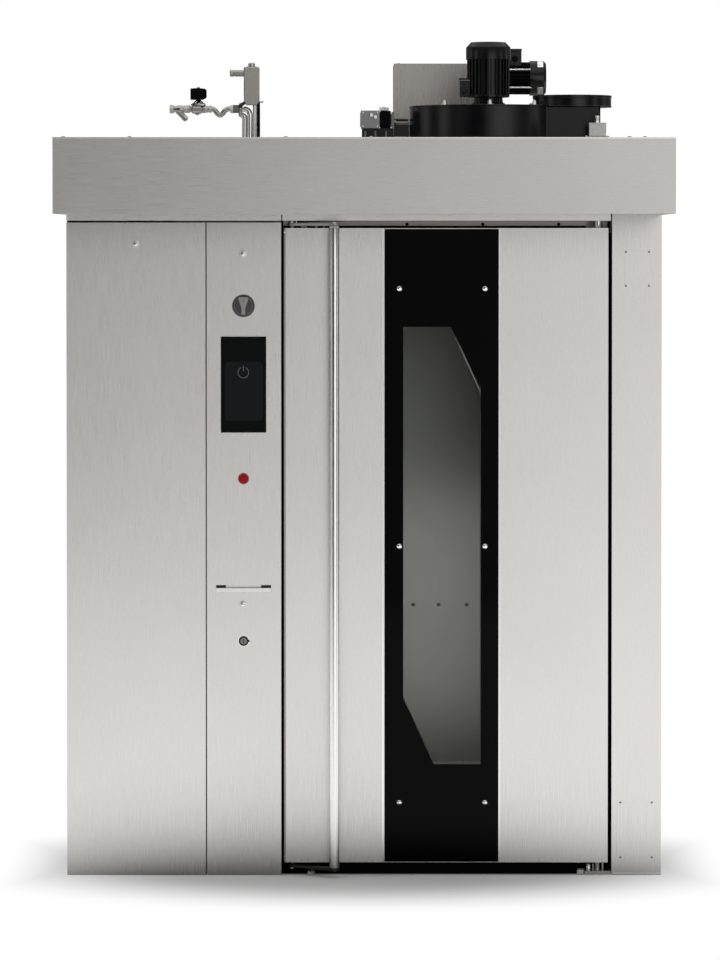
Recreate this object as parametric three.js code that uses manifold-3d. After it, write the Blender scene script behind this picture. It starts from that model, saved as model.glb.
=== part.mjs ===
// Rotating rack oven: cabinet, hinged door with a lever handle, control column, steam hood and roof drives.
// Millimetres. X runs to the right, Y to the back and Z up, seen by someone who stands before the door.
// The origin lies on the floor, under the middle of the cabinet.

import * as THREE from "three";
import { mergeVertices } from "three/addons/utils/BufferGeometryUtils.js";
import Module from "manifold-3d";

const wasm = await Module();
wasm.setup();

// ---------------------------------------------------------------- driving sizes

const seam = 0.3; // gap that neighbouring pieces keep
const sheet = 2; // outer sheet metal
const liner = 1.5; // chamber sheet metal
const plate = 3; // welded frame plate

const bodyWidth = 1830;
const bodyDepth = 1400;
const foldDepth = 25; // folded edge of an outer panel

const servicePanelWidth = 427.5;
const controlPanelWidth = 228.5;
const panelJoint = 4; // between service panel and control column
const pillarWidth = 152.4;
const lintelGap = 23; // door top to lintel
const panelToLintel = 6;
const lintelSeam = 4;
const lintelLip = 15;
const jambFromDoor = 4.5;

const doorHeight = 1955;
const doorBottom = 39;
const doorDepth = 85;
const doorGapLeft = 9;
const doorGapRight = 11.6;
const doorSkinDepth = 50;
const doorSkin = 1.5;

const glassWidth = 350.6;
const glassFromLeft = 309; // door's left edge to the glass
const glassThickness = 6;
const glassInset = 4.5; // glass edge inside the door, at top and bottom
const windowWidth = 238.4;
const windowHeight = 1347.6;
const windowFromGlass = 57.7;
const windowBottom = 342.4;
const windowCutWidth = 93.3;
const windowCutHeight = 204;
const windowFrameWall = 2;

const gasketWidth = 16;
const gasketDepth = 11.4;
const openingFromDoorLeft = 46;
const openingFromDoorRight = 56;
const openingBelowDoorTop = 64;
const openingOverlap = 4; // gasket inside edge to the opening's edge

const rearSpace = 230; // chamber to the cabinet's back
const chamberAboveOpening = 30;
const chamberBeyondDoor = 31.5; // past the door's left edge
const chamberRightWall = 132.5; // outer skin to chamber
const floorLevel = 33;
const revealDepth = 30;
const ductWidth = 202; // hot-air duct, left of the chamber
const insulationLeft = 118;
const insulationRear = 128;
const insulationTop = 118;
const trayHeight = 30;
const trayRibs = 4;
const airSlots = 14;
const airSlotHeight = 36;
const airSlotWidth = 90;

const hingeFromDoorRight = 31;
const hingeFromFront = 25;
const hingePinRadius = 5.8;
const hingePlateWidth = 79;
const topHingeWidth = 66;
const hingePlateThickness = 10;
const hingePlateBottom = 2;
const pinBite = 10; // pin length inside the door
const pinPlay = 0.8;

const handleRadius = 16.5;
const handleFromDoorLeft = 155;
const handleStandOff = 55;
const handlePivotFromLeft = 24;
const handlePivotFromFront = 30;
const handleArmThickness = 8;
const handleArmWidth = 26;
const handleArmGap = 7; // door end to arm
const handlePinRadius = 6;

const knobFromTop = 256;
const knobRadius = 34.8;
const knobDepth = 14;
const knobBossRadius = 8;
const controlCentreFromRight = 115.7; // control column's right edge to its row of controls
const screenWidth = 139.2;
const screenHeight = 294.7;
const screenFromTop = 645.3; // column's top to the screen's lower edge
const screenDepth = 30;
const screenProud = 3;
const stopFromTop = 787.6;
const stopRadius = 15;
const stopProud = 14;
const stopTravel = 5;
const lipHeight = 884;
const lipWidth = 169.4;
const lipRise = 23;
const lipDepth = 12;
const lockHeight = 723;
const lockRadius = 15.4;
const lockProud = 4;
const lockDepth = 22;
const stemPlay = 0.5;

const hoodReach = 590;
const hoodAboveLintel = 18;
const hoodHeight = 225;
const roofBelowHood = 20;
const hoodFold = 30;

const scrollRadius = 238;
const scrollHeight = 98;
const scrollFromRight = 542.4; // fan axis to the cabinet's right side
const scrollFromHoodFront = 295;
const scrollWall = 3;
const outletStart = 167.4; // fan axis to the place where the outlet duct leaves the drum
const outletReach = 327.4; // fan axis to the outlet duct's closed end
const outletWidth = 200;
const collarRadius = 118;
const collarHeight = 33;
const collarFromFan = 248.4;
const fanInletRadius = 110;
const impellerRadius = 170;
const impellerHeight = 62;
const impellerBlades = 12;
const fanShaftRadius = 12;

const motorRadius = 62;
const motorLength = 139;
const motorFins = 18;
const finHeight = 5;
const motorFlangeRadius = 50;
const motorFlangeHeight = 28;
const cowlRadius = 67;
const cowlLength = 52;
const terminalBoxReach = 26;
const terminalBoxLength = 56;
const terminalBoxWidth = 62;

const driveBoxWidth = 315;
const driveBoxDepth = 314;
const driveBoxHeight = 278;
const driveBoxWall = 2;
const rackShaftRadius = 20;
const sprocketRadius = 75;
const pinionRadius = 25;
const sprocketThickness = 10;
const sprocketLevel = 60; // above the roof
const sprocketTeeth = 24;
const pinionTeeth = 8;
const pinionOffset = 115; // shaft to shaft
const chainWidth = 7;
const gearmotorRadius = 52;
const gearmotorLevel = 237; // above the roof
const gearmotorLength = 170;
const gearmotorBoxFromFlange = 46;
const gearmotorBoxLength = 45;
const pinionShaftRadius = 9;
const pinionShaftBite = 12; // shaft inside the gearbox
const bearingRadius = 62;
const bearingHeight = 34;
const carrierBelowOpening = 130;
const shaftAboveSprocket = 20;
const carrierLength = 620;
const carrierWidth = 60;
const carrierThickness = 12;
const hookDrop = 110;
const hookLength = 90;

const wheelRadius = 210;
const wheelWidth = 120;
const wheelBlades = 12;
const wheelBelowCeiling = 270;
const wheelShaftRadius = 14;
const circulationMotorRadius = 95;
const circulationMotorLength = 230;
const circulationFlange = 35;
const circulationBox = 90;
const circulationBoxRise = 40;
const circulationBoxFromEnd = 60;

const heaterCount = 6;
const heaterPitch = 90;
const heaterBend = 60;
const heaterMargin = 40;
const heaterRodRadius = 8;
const heaterReach = 150;
const heaterSpan = 420;
const heaterPlateThickness = 5;

const cascadeShelves = 7;
const cascadePitch = 85;
const cascadeWidth = 150;
const cascadeLength = 640;
const cascadeThickness = 8;
const cascadeLip = 28;

const electricalBoxWidth = 170;
const electricalBoxDepth = 380;
const electricalBoxHeight = 800;
const electricalBoxBottom = 620;
const electricalBoxFromFold = 60;
const cableGlands = 4;
const cableGlandRadius = 12;
const cableGlandLength = 24;

const plumbingFromFront = 300;
const strainerFromLeft = 305;
const strainerLength = 55;
const strainerNut = 16;
const strainerRadius = 11;
const strainerLeg = 44;
const valveLength = 56.7;
const valveHalf = 17;
const valveNeck = 14;
const unionLength = 12;
const coilHalf = 25;
const coilHeight = 37.7;
const coilFromValveMiddle = 7;
const checkValveFromUnion = 68;
const checkValveLength = 34;
const elbowReach = 26;
const pipeRadius = 9;
const pipeLevel = 128; // pipe axis above the roof
const ventFromRiser = 3.6;
const ventBoxWidth = 51;
const ventBoxHeight = 105;
const ventBoxAboveRoof = 154.5;
const ventTaper = 14;
const ventNipple = 45;
const ventNippleFromTop = 19;
const ventCapHeight = 15;
const ventRiserOffset = 20;
const trapDrop = 19;

const actuatorWidth = 100;
const actuatorHeight = 53;
const actuatorDepth = 80;
const actuatorLink = 44.6; // gap to the fan housing
const actuatorBaseHeight = 12;
const actuatorPost = 20;
const actuatorLinkBottom = 8;
const actuatorLinkHeight = 36;
const actuatorLinkWidth = 40;
const actuatorRodLevel = 49;
const damperKnobRadius = 14.5;
const damperKnobHeight = 12;
const damperShaftRadius = 8;

const junctionFromRight = 229.5;
const junctionWidth = 50;
const junctionHeight = 42;
const junctionDepth = 42;
const junctionFromHoodFront = 8;
const junctionGland = 8;
const junctionGlandHeight = 22;

// ---------------------------------------------------------------- places worked out from them

const left = -bodyWidth / 2;
const right = bodyWidth / 2;
const front = -bodyDepth / 2;
const back = bodyDepth / 2;

const servicePanelRight = left + servicePanelWidth;
const controlLeft = servicePanelRight + panelJoint;
const controlRight = controlLeft + controlPanelWidth;
const controlX = controlRight - controlCentreFromRight;
const doorLeft = controlRight + doorGapLeft;
const pillarLeft = right - pillarWidth;
const doorRight = pillarLeft - doorGapRight;
const doorTop = doorBottom + doorHeight;
const lintelBottom = doorTop + lintelGap;
const panelTop = lintelBottom - panelToLintel;
const knobHeight = panelTop - knobFromTop;
const screenBottom = panelTop - screenFromTop;
const stopHeight = panelTop - stopFromTop;
const hoodBottom = lintelBottom + hoodAboveLintel;
const hoodTop = hoodBottom + hoodHeight;
const roofHeight = hoodTop - roofBelowHood;
const doorBack = front + doorDepth;
const doorSplit = front + doorSkinDepth;

const glassLeft = doorLeft + glassFromLeft;
const glassRight = glassLeft + glassWidth;
const windowLeft = glassLeft + windowFromGlass;

const frameFront = doorBack + gasketDepth + 2 * seam;
const frameBack = frameFront + plate;
const openingLeft = doorLeft + openingFromDoorLeft;
const openingRight = doorRight - openingFromDoorRight;
const openingTop = doorTop - openingBelowDoorTop;

const chamberRight = right - chamberRightWall;
const chamberLeft = doorLeft - chamberBeyondDoor;
const chamberTop = openingTop + chamberAboveOpening;
const chamberFront = frameBack + revealDepth;
const chamberBack = back - rearSpace;
const ductLeft = chamberLeft - ductWidth;
const insulationOuter = ductLeft - liner - seam - insulationLeft;
const insulationRoof = chamberTop + liner + seam + insulationTop;
const trayBack = back - sheet - seam;

const hingeX = doorRight - hingeFromDoorRight;
const hingeY = front + hingeFromFront;
const pivotX = doorLeft + handlePivotFromLeft;
const pivotY = front + handlePivotFromFront;
const handleX = doorLeft + handleFromDoorLeft;
const handleY = front - handleStandOff;

const hoodFront = front - hoodReach;
const hoodBack = front - seam;
const scrollX = right - scrollFromRight;
const scrollY = hoodFront + scrollFromHoodFront;
const scrollTop = hoodTop + seam + scrollHeight;
const outletFront = scrollY - Math.sqrt(scrollRadius ** 2 - outletStart ** 2);
const outletEnd = scrollX + outletReach;
const collarX = scrollX + collarFromFan;

const shaftX = (chamberLeft + chamberRight) / 2;
const shaftY = (frameBack + chamberBack) / 2;
const driveTop = roofHeight + seam + driveBoxHeight;
const sprocketZ = roofHeight + sprocketLevel;
const gearmotorZ = roofHeight + gearmotorLevel;
const pinionX = shaftX + pinionOffset;
const carrierLevel = openingTop - carrierBelowOpening;
const wheelX = (ductLeft + chamberLeft) / 2;
const wheelHeight = chamberTop - wheelBelowCeiling;
const cascadeBottom = floorLevel + seam;
const cascadeTop = cascadeBottom + cascadePitch * cascadeShelves;
const heaterMiddle = (cascadeTop + wheelHeight - wheelRadius) / 2;
const actuatorRight = scrollX - scrollRadius - actuatorLink;
const junctionX = right - junctionFromRight;

// ---------------------------------------------------------------- materials

function metal(color, roughness) {
  return new THREE.MeshStandardMaterial({ color, roughness, metalness: 1 });
}

function dull(color, roughness) {
  return new THREE.MeshStandardMaterial({ color, roughness, metalness: 0 });
}

const brushedSteel = metal(0xb9b6b2, 0.38);
const innerSteel = metal(0xa6a6a4, 0.45);
const chrome = metal(0xdedede, 0.12);
const darkSteel = metal(0x6f6f6e, 0.55);
const brass = metal(0xb59a5a, 0.4);
const blackPaint = dull(0x16171a, 0.5);
const blackGlass = dull(0x0b0c0e, 0.08);
const clearGlass = dull(0x9fb0b4, 0.05);
const greyPlastic = dull(0x55575a, 0.5);
const lightPlastic = dull(0x8d8f90, 0.5);
const redPlastic = dull(0xb3261c, 0.4);
const rubber = dull(0x202020, 0.8);
const mineralWool = dull(0xb9a878, 0.95);
const castIron = metal(0x3b3a39, 0.8);

// ---------------------------------------------------------------- geometry helpers

function boxGeometry(x, y, z) {
  const geometry = new THREE.BoxGeometry(x[1] - x[0], y[1] - y[0], z[1] - z[0]);
  return geometry.translate((x[0] + x[1]) / 2, (y[0] + y[1]) / 2, (z[0] + z[1]) / 2);
}

// A cylinder along "x", "y" or "z", from its low end.
function rodGeometry(axis, radius, length, low, segments = 20) {
  const geometry = new THREE.CylinderGeometry(radius, radius, length, segments);
  if (axis === "x") geometry.rotateZ(-Math.PI / 2);
  if (axis === "z") geometry.rotateX(Math.PI / 2);
  const middle = new THREE.Vector3(...low);
  middle["xyz".includes(axis) ? axis : "z"] += length / 2;
  return geometry.translate(middle.x, middle.y, middle.z);
}

// A flat shape drawn in X and Y, raised along Z.
function prismGeometry(points, holes, bottom, height) {
  const shape = new THREE.Shape(points.map(([x, y]) => new THREE.Vector2(x, y)));
  for (const hole of holes) shape.holes.push(new THREE.Path(hole.map(([x, y]) => new THREE.Vector2(x, y))));
  const geometry = new THREE.ExtrudeGeometry(shape, { depth: height, bevelEnabled: false, curveSegments: 24 });
  return geometry.translate(0, 0, bottom);
}

// A flat shape drawn in X and Z, as seen from the front, with its thickness along Y.
function frontPrismGeometry(points, yNear, thickness) {
  const geometry = prismGeometry(points, [], 0, thickness);
  return geometry.rotateX(Math.PI / 2).translate(0, yNear + thickness, 0);
}

function circlePoints(x, y, radius, count) {
  const points = [];
  for (let i = 0; i < count; i++) {
    const angle = (2 * Math.PI * i) / count;
    points.push([x + radius * Math.cos(angle), y + radius * Math.sin(angle)]);
  }
  return points;
}

function toSolid(geometry) {
  const bare = geometry.index ? geometry.toNonIndexed() : geometry.clone();
  bare.deleteAttribute("normal");
  bare.deleteAttribute("uv");
  const merged = mergeVertices(bare, 1e-4);
  const vertProperties = merged.attributes.position.array;
  const triVerts = new Uint32Array(merged.index.array);
  return new wasm.Manifold(new wasm.Mesh({ numProp: 3, vertProperties, triVerts }));
}

function toGeometry(solid) {
  const mesh = solid.getMesh();
  const geometry = new THREE.BufferGeometry();
  geometry.setAttribute("position", new THREE.BufferAttribute(mesh.vertProperties.slice(), 3));
  geometry.setIndex(new THREE.BufferAttribute(mesh.triVerts.slice(), 1));
  geometry.computeVertexNormals();
  return geometry;
}

// Joins the added geometries and takes the cut ones away.
function carve(added, cuts = []) {
  let solid = toSolid(added[0]);
  for (const geometry of added.slice(1)) solid = solid.add(toSolid(geometry));
  for (const geometry of cuts) solid = solid.subtract(toSolid(geometry));
  return toGeometry(solid);
}

function addPart(group, name, material, geometry) {
  const mesh = new THREE.Mesh(geometry, material);
  mesh.name = name;
  group.attach(mesh);
  return mesh;
}

function groupAt(parent, x, y, z) {
  const group = new THREE.Group();
  group.position.set(x, y, z);
  parent.attach(group);
  return group;
}

// A folded panel: a front sheet with edges that turn back, open behind.
function folded(x, z, yFront, depth, wall) {
  const inner = boxGeometry(
    [x[0] + wall, x[1] - wall],
    [yFront + wall, yFront + depth + wall],
    [z[0] + wall, z[1] - wall],
  );
  return [boxGeometry(x, [yFront, yFront + depth], z), inner];
}

// ---------------------------------------------------------------- cabinet

const oven = new THREE.Group();
const cabinet = groupAt(oven, 0, 0, 0);

function buildBase() {
  const x = [left + sheet + seam, right - sheet - seam];
  const y = [frameBack + seam, trayBack];
  const hollow = boxGeometry(
    [x[0] + sheet, x[1] - sheet],
    [y[0] + sheet, y[1] - sheet],
    [sheet, trayHeight + sheet],
  );
  const tray = toGeometry(toSolid(boxGeometry(x, y, [0, trayHeight])).subtract(toSolid(hollow)));
  const ribs = [];
  for (let i = 1; i <= trayRibs; i++) {
    const ribX = x[0] + ((x[1] - x[0]) * i) / (trayRibs + 1);
    ribs.push(boxGeometry([ribX, ribX + sheet], [y[0] + sheet / 2, y[1] - sheet / 2], [sheet / 2, trayHeight - sheet]));
  }
  addPart(cabinet, "base_tray", innerSteel, carve([tray, ...ribs]));
  addPart(
    cabinet,
    "chamber_floor",
    innerSteel,
    boxGeometry([ductLeft, chamberRight], [chamberFront + seam, chamberBack], [trayHeight + seam, floorLevel]),
  );
}

function buildOuterPanels() {
  const sideY = [front + foldDepth + seam, trayBack];
  const sideZ = [0, roofHeight - sheet - seam];
  addPart(cabinet, "left_side_panel", brushedSteel, boxGeometry([left, left + sheet], sideY, sideZ));
  addPart(cabinet, "right_side_panel", brushedSteel, boxGeometry([right - sheet, right], sideY, sideZ));
  addPart(cabinet, "rear_panel", brushedSteel, boxGeometry([left, right], [back - sheet, back], sideZ));

  const roofY = [sideY[0], back];
  const roof = boxGeometry([left, right], roofY, [roofHeight - sheet, roofHeight]);
  const shaftHole = rodGeometry("z", rackShaftRadius + stemPlay, 4 * sheet, [shaftX, shaftY, roofHeight - 3 * sheet]);
  addPart(cabinet, "roof_panel", brushedSteel, carve([roof], [shaftHole]));

  const [service, serviceHollow] = folded([left, servicePanelRight], [0, panelTop], front, foldDepth, sheet);
  addPart(cabinet, "service_panel", brushedSteel, carve([service], [serviceHollow]));

  const pillarDepth = frameFront - seam - front;
  const [pillar, pillarHollow] = folded([pillarLeft, right], [0, roofHeight], front, foldDepth, sheet);
  const jamb = boxGeometry([pillarLeft, pillarLeft + sheet], [front, front + pillarDepth], [0, roofHeight - sheet]);
  const pillarPan = toGeometry(toSolid(pillar).subtract(toSolid(pillarHollow)));
  addPart(cabinet, "right_pillar", brushedSteel, carve([pillarPan, jamb]));

  const lintelX = [left, pillarLeft - lintelSeam];
  const lintelZ = [lintelBottom, roofHeight];
  const sheetFront = boxGeometry(lintelX, [front, front + sheet], lintelZ);
  const lip = boxGeometry(lintelX, [front, front + lintelLip], [lintelBottom, lintelBottom + sheet]);
  const topFold = boxGeometry(lintelX, [front, front + foldDepth], [roofHeight - sheet, roofHeight]);
  const ends = lintelX.map((x, i) => {
    const inner = i === 0 ? x + sheet : x - sheet;
    return boxGeometry([Math.min(x, inner), Math.max(x, inner)], [front, front + foldDepth], lintelZ);
  });
  const slit = boxGeometry(
    [controlRight, controlRight + lintelSeam],
    [front - sheet, front + lintelLip + sheet],
    [lintelBottom - sheet, hoodBottom],
  );
  addPart(cabinet, "lintel_panel", brushedSteel, carve([sheetFront, lip, topFold, ...ends], [slit]));
}

// The bulkhead behind the door: it carries the hinges, the latch side and the control column.
function buildDoorFrame() {
  const reachLeft = insulationOuter;
  const reachRight = right - sheet - seam;
  const top = roofHeight - sheet - seam;
  const bulkhead = boxGeometry([reachLeft, reachRight], [frameFront, frameBack], [0, top]);
  const reveal = boxGeometry(
    [openingLeft - plate, openingRight + plate],
    [frameFront, chamberFront],
    [floorLevel - liner, openingTop + plate],
  );
  const jambX = doorLeft - jambFromDoor;
  const jamb = boxGeometry([jambX - sheet, jambX], [front + foldDepth, frameBack], [0, panelTop]);
  const postRight = controlLeft - seam;
  const post = boxGeometry([postRight - sheet, postRight], [front + foldDepth, frameBack], [0, panelTop]);
  const opening = boxGeometry(
    [openingLeft, openingRight],
    [frameFront - plate, chamberFront + plate],
    [floorLevel, openingTop],
  );
  addPart(cabinet, "door_frame", innerSteel, carve([bulkhead, reveal, jamb, post], [opening]));
}

function buildChamber() {
  const wallY = [chamberFront + seam, chamberBack];
  const wallZ = [floorLevel + seam, chamberTop - seam];
  const slots = [];
  const slotPitch = (chamberTop - floorLevel) / (airSlots + 1);
  for (let i = 1; i <= airSlots; i++) {
    for (const side of [-1, 1]) {
      const y = (chamberFront + chamberBack) / 2 + (side * (chamberBack - chamberFront)) / 4;
      const z = floorLevel + slotPitch * i;
      slots.push(
        boxGeometry(
          [chamberLeft - 2 * liner, chamberLeft + liner],
          [y - airSlotWidth / 2, y + airSlotWidth / 2],
          [z - airSlotHeight / 2, z + airSlotHeight / 2],
        ),
      );
    }
  }
  const airWall = boxGeometry([chamberLeft - liner, chamberLeft], wallY, wallZ);
  addPart(cabinet, "air_wall", innerSteel, carve([airWall], slots));
  addPart(
    cabinet,
    "chamber_right_wall",
    innerSteel,
    boxGeometry([chamberRight + seam, chamberRight + seam + liner], wallY, [trayHeight + seam, chamberTop - seam]),
  );
  addPart(
    cabinet,
    "chamber_rear_wall",
    innerSteel,
    boxGeometry(
      [ductLeft, chamberRight + seam + liner],
      [chamberBack + seam, chamberBack + seam + liner],
      [trayHeight + seam, chamberTop - seam],
    ),
  );
  const ceiling = boxGeometry(
    [ductLeft, chamberRight + seam + liner],
    [chamberFront + seam, chamberBack + seam + liner],
    [chamberTop, chamberTop + liner],
  );
  const shaftHole = rodGeometry("z", rackShaftRadius + stemPlay, 3 * liner, [shaftX, shaftY, chamberTop - liner]);
  addPart(cabinet, "chamber_ceiling", innerSteel, carve([ceiling], [shaftHole]));

  const ductWall = boxGeometry([ductLeft - seam - liner, ductLeft - seam], wallY, [trayHeight + seam, chamberTop - seam]);
  const motorHole = rodGeometry("x", wheelShaftRadius + stemPlay, 4 * liner, [ductLeft - 3 * liner, shaftY, wheelHeight]);
  addPart(cabinet, "duct_wall", innerSteel, carve([ductWall], [motorHole]));
}

function buildInsulation() {
  const y = [frameBack + seam, chamberBack + liner + 2 * seam + insulationRear];
  const z = [trayHeight + seam, insulationRoof];
  const block = boxGeometry([insulationOuter, right - sheet - 2 * seam], y, z);
  const hollow = boxGeometry(
    [ductLeft - liner - 2 * seam, chamberRight + liner + 2 * seam],
    [y[0] - plate, chamberBack + liner + 2 * seam],
    [z[0] - plate, chamberTop + liner + seam],
  );
  const shaftHole = rodGeometry("z", rackShaftRadius + 4, 2 * insulationTop, [shaftX, shaftY, chamberTop]);
  const motorHole = rodGeometry(
    "x",
    wheelShaftRadius + stemPlay,
    insulationLeft + 2 * plate,
    [insulationOuter - plate, shaftY, wheelHeight],
  );
  addPart(cabinet, "insulation_jacket", mineralWool, carve([block], [hollow, shaftHole, motorHole]));
}

// ---------------------------------------------------------------- inside the left bay

function wheelBladeGeometries(radius, hubRadius, width, count) {
  const blades = [];
  for (let i = 0; i < count; i++) {
    const blade = boxGeometry([hubRadius - 2, radius - 1], [-1.5, 1.5], [0, width]);
    blades.push(blade.rotateZ((2 * Math.PI * i) / count));
  }
  return blades;
}

// A fan wheel on the Z axis: a back disc, blades, a rim ring and a hub with its shaft.
function fanWheel(radius, width, blades, shaftRadius, shaftLength) {
  const disc = 3;
  const rim = 14;
  const hubRadius = shaftRadius * 2;
  const ring = prismGeometry(circlePoints(0, 0, radius, 28), [circlePoints(0, 0, radius - rim, 28)], 0, disc);
  return carve([
    rodGeometry("z", radius, disc, [0, 0, width - disc], 28),
    ring,
    rodGeometry("z", hubRadius, width, [0, 0, 0]),
    rodGeometry("z", shaftRadius, shaftLength, [0, 0, width - disc]),
    ...wheelBladeGeometries(radius, hubRadius, width, blades),
  ]);
}

function buildCirculation() {
  const wheelFar = wheelX - wheelWidth / 2;
  const motorNear = insulationOuter - seam;
  const motorPlate = 6;
  const shaftLength = wheelFar - (motorNear - motorPlate) + 20;
  const wheelGroup = groupAt(cabinet, wheelX + wheelWidth / 2, shaftY, wheelHeight);
  wheelGroup.rotation.y = -Math.PI / 2;
  const wheel = new THREE.Mesh(
    fanWheel(wheelRadius, wheelWidth, wheelBlades, wheelShaftRadius, shaftLength),
    darkSteel,
  );
  wheel.name = "circulation_wheel";
  wheelGroup.add(wheel);

  const motorEnd = motorNear - motorPlate - circulationMotorLength;
  const bore = rodGeometry("x", wheelShaftRadius + stemPlay, 40, [motorNear - 38, shaftY, wheelHeight]);
  addPart(
    cabinet,
    "circulation_motor",
    blackPaint,
    carve(
      [
        rodGeometry("x", circulationMotorRadius, circulationMotorLength, [motorEnd, shaftY, wheelHeight], 28),
        rodGeometry("x", circulationMotorRadius + circulationFlange, motorPlate, [motorNear - motorPlate, shaftY, wheelHeight], 28),
        boxGeometry(
          [motorEnd + circulationBoxFromEnd, motorEnd + circulationBoxFromEnd + circulationBox],
          [shaftY - circulationBox / 2, shaftY + circulationBox / 2],
          [wheelHeight, wheelHeight + circulationMotorRadius + circulationBoxRise],
        ),
      ],
      [bore],
    ),
  );
}

// Hairpin rods that stand on a flange plate in the hot-air duct.
function buildHeater() {
  const y = [shaftY - heaterSpan / 2, shaftY + heaterSpan / 2];
  const halfRise = (heaterPitch * (heaterCount - 1)) / 2;
  const softBend = heaterBend * 0.3;
  const parts = [
    boxGeometry(
      [ductLeft + seam, ductLeft + heaterPlateThickness],
      [y[0] - heaterMargin, y[1] + heaterMargin],
      [heaterMiddle - halfRise - heaterMargin, heaterMiddle + halfRise + heaterMargin],
    ),
  ];
  const ring = circlePoints(0, 0, heaterRodRadius, 6).map(([a, b]) => new THREE.Vector2(a, b));
  for (let i = 0; i < heaterCount; i++) {
    const z = heaterMiddle - halfRise + heaterPitch * i;
    const near = ductLeft + heaterPlateThickness / 2;
    const far = ductLeft + heaterReach;
    const points = [
      [near, y[0]],
      [far - heaterBend, y[0]],
      [far - softBend, y[0] + softBend],
      [far, y[0] + heaterBend],
      [far, y[1] - heaterBend],
      [far - softBend, y[1] - softBend],
      [far - heaterBend, y[1]],
      [near, y[1]],
    ].map(([px, py]) => new THREE.Vector3(px, py, z));
    const curve = new THREE.CatmullRomCurve3(points, false, "chordal");
    parts.push(
      new THREE.ExtrudeGeometry(new THREE.Shape(ring), { steps: 12, bevelEnabled: false, extrudePath: curve }),
    );
  }
  addPart(cabinet, "heating_elements", darkSteel, carve(parts));
}

// Steam is made where water runs down these hot iron shelves.
function buildCascade() {
  const x = [wheelX - cascadeWidth / 2, wheelX + cascadeWidth / 2];
  const y = [shaftY - cascadeLength / 2, shaftY + cascadeLength / 2];
  const parts = [
    boxGeometry(x, [y[0], y[0] + cascadeThickness], [cascadeBottom, cascadeTop]),
    boxGeometry(x, [y[1] - cascadeThickness, y[1]], [cascadeBottom, cascadeTop]),
  ];
  for (let i = 0; i < cascadeShelves; i++) {
    const z = cascadeBottom + cascadePitch * (i + 0.5);
    parts.push(boxGeometry(x, y, [z, z + cascadeThickness]));
    parts.push(boxGeometry([x[0], x[0] + cascadeThickness], y, [z, z + cascadeLip]));
    parts.push(boxGeometry([x[1] - cascadeThickness, x[1]], y, [z, z + cascadeLip]));
  }
  addPart(cabinet, "steam_cascade", castIron, carve(parts));
}

function buildElectricalBox() {
  const x = [left + sheet + seam, left + sheet + seam + electricalBoxWidth];
  const yFront = front + foldDepth + electricalBoxFromFold;
  const z = [electricalBoxBottom, electricalBoxBottom + electricalBoxHeight];
  const glands = [];
  for (let i = 1; i <= cableGlands; i++) {
    const y = yFront + (electricalBoxDepth * i) / (cableGlands + 1);
    const low = [x[0] + electricalBoxWidth / 2, y, z[0] - cableGlandLength + sheet];
    glands.push(rodGeometry("z", cableGlandRadius, cableGlandLength, low, 12));
  }
  const box = boxGeometry(x, [yFront, yFront + electricalBoxDepth], z);
  addPart(cabinet, "electrical_box", lightPlastic, carve([box, ...glands]));
}

// ---------------------------------------------------------------- hood

function buildHood() {
  const [hoodPan, hoodHollow] = folded([left, right], [hoodBottom, hoodTop], hoodFront, hoodFold, sheet);
  addPart(cabinet, "hood_front", brushedSteel, carve([hoodPan], [hoodHollow]));
  const cheekY = [hoodFront + hoodFold + seam, hoodBack];
  const cheekZ = [hoodBottom, hoodTop - sheet - seam];
  addPart(cabinet, "hood_left_cheek", brushedSteel, boxGeometry([left, left + sheet], cheekY, cheekZ));
  addPart(cabinet, "hood_right_cheek", brushedSteel, boxGeometry([right - sheet, right], cheekY, cheekZ));
  const roof = boxGeometry([left, right], cheekY, [hoodTop - sheet, hoodTop]);
  const inlet = rodGeometry("z", fanInletRadius, 3 * sheet, [scrollX, scrollY, hoodTop - 2 * sheet], 36);
  addPart(cabinet, "hood_roof", brushedSteel, carve([roof], [inlet]));
}

// ---------------------------------------------------------------- steam extractor on the hood

function scrollOutline(inset) {
  const radius = scrollRadius - inset;
  const points = [];
  const steps = 36;
  const duct = outletFront + outletWidth - inset;
  const rearAngle = Math.asin((duct - scrollY) / radius);
  const frontAngle = 2 * Math.PI - Math.asin((scrollY - outletFront - inset) / radius);
  for (let i = 0; i <= steps; i++) {
    const angle = rearAngle + ((frontAngle - rearAngle) * i) / steps;
    points.push([scrollX + radius * Math.cos(angle), scrollY + radius * Math.sin(angle)]);
  }
  points.push([outletEnd - inset, outletFront + inset]);
  points.push([outletEnd - inset, duct]);
  return points;
}

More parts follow.
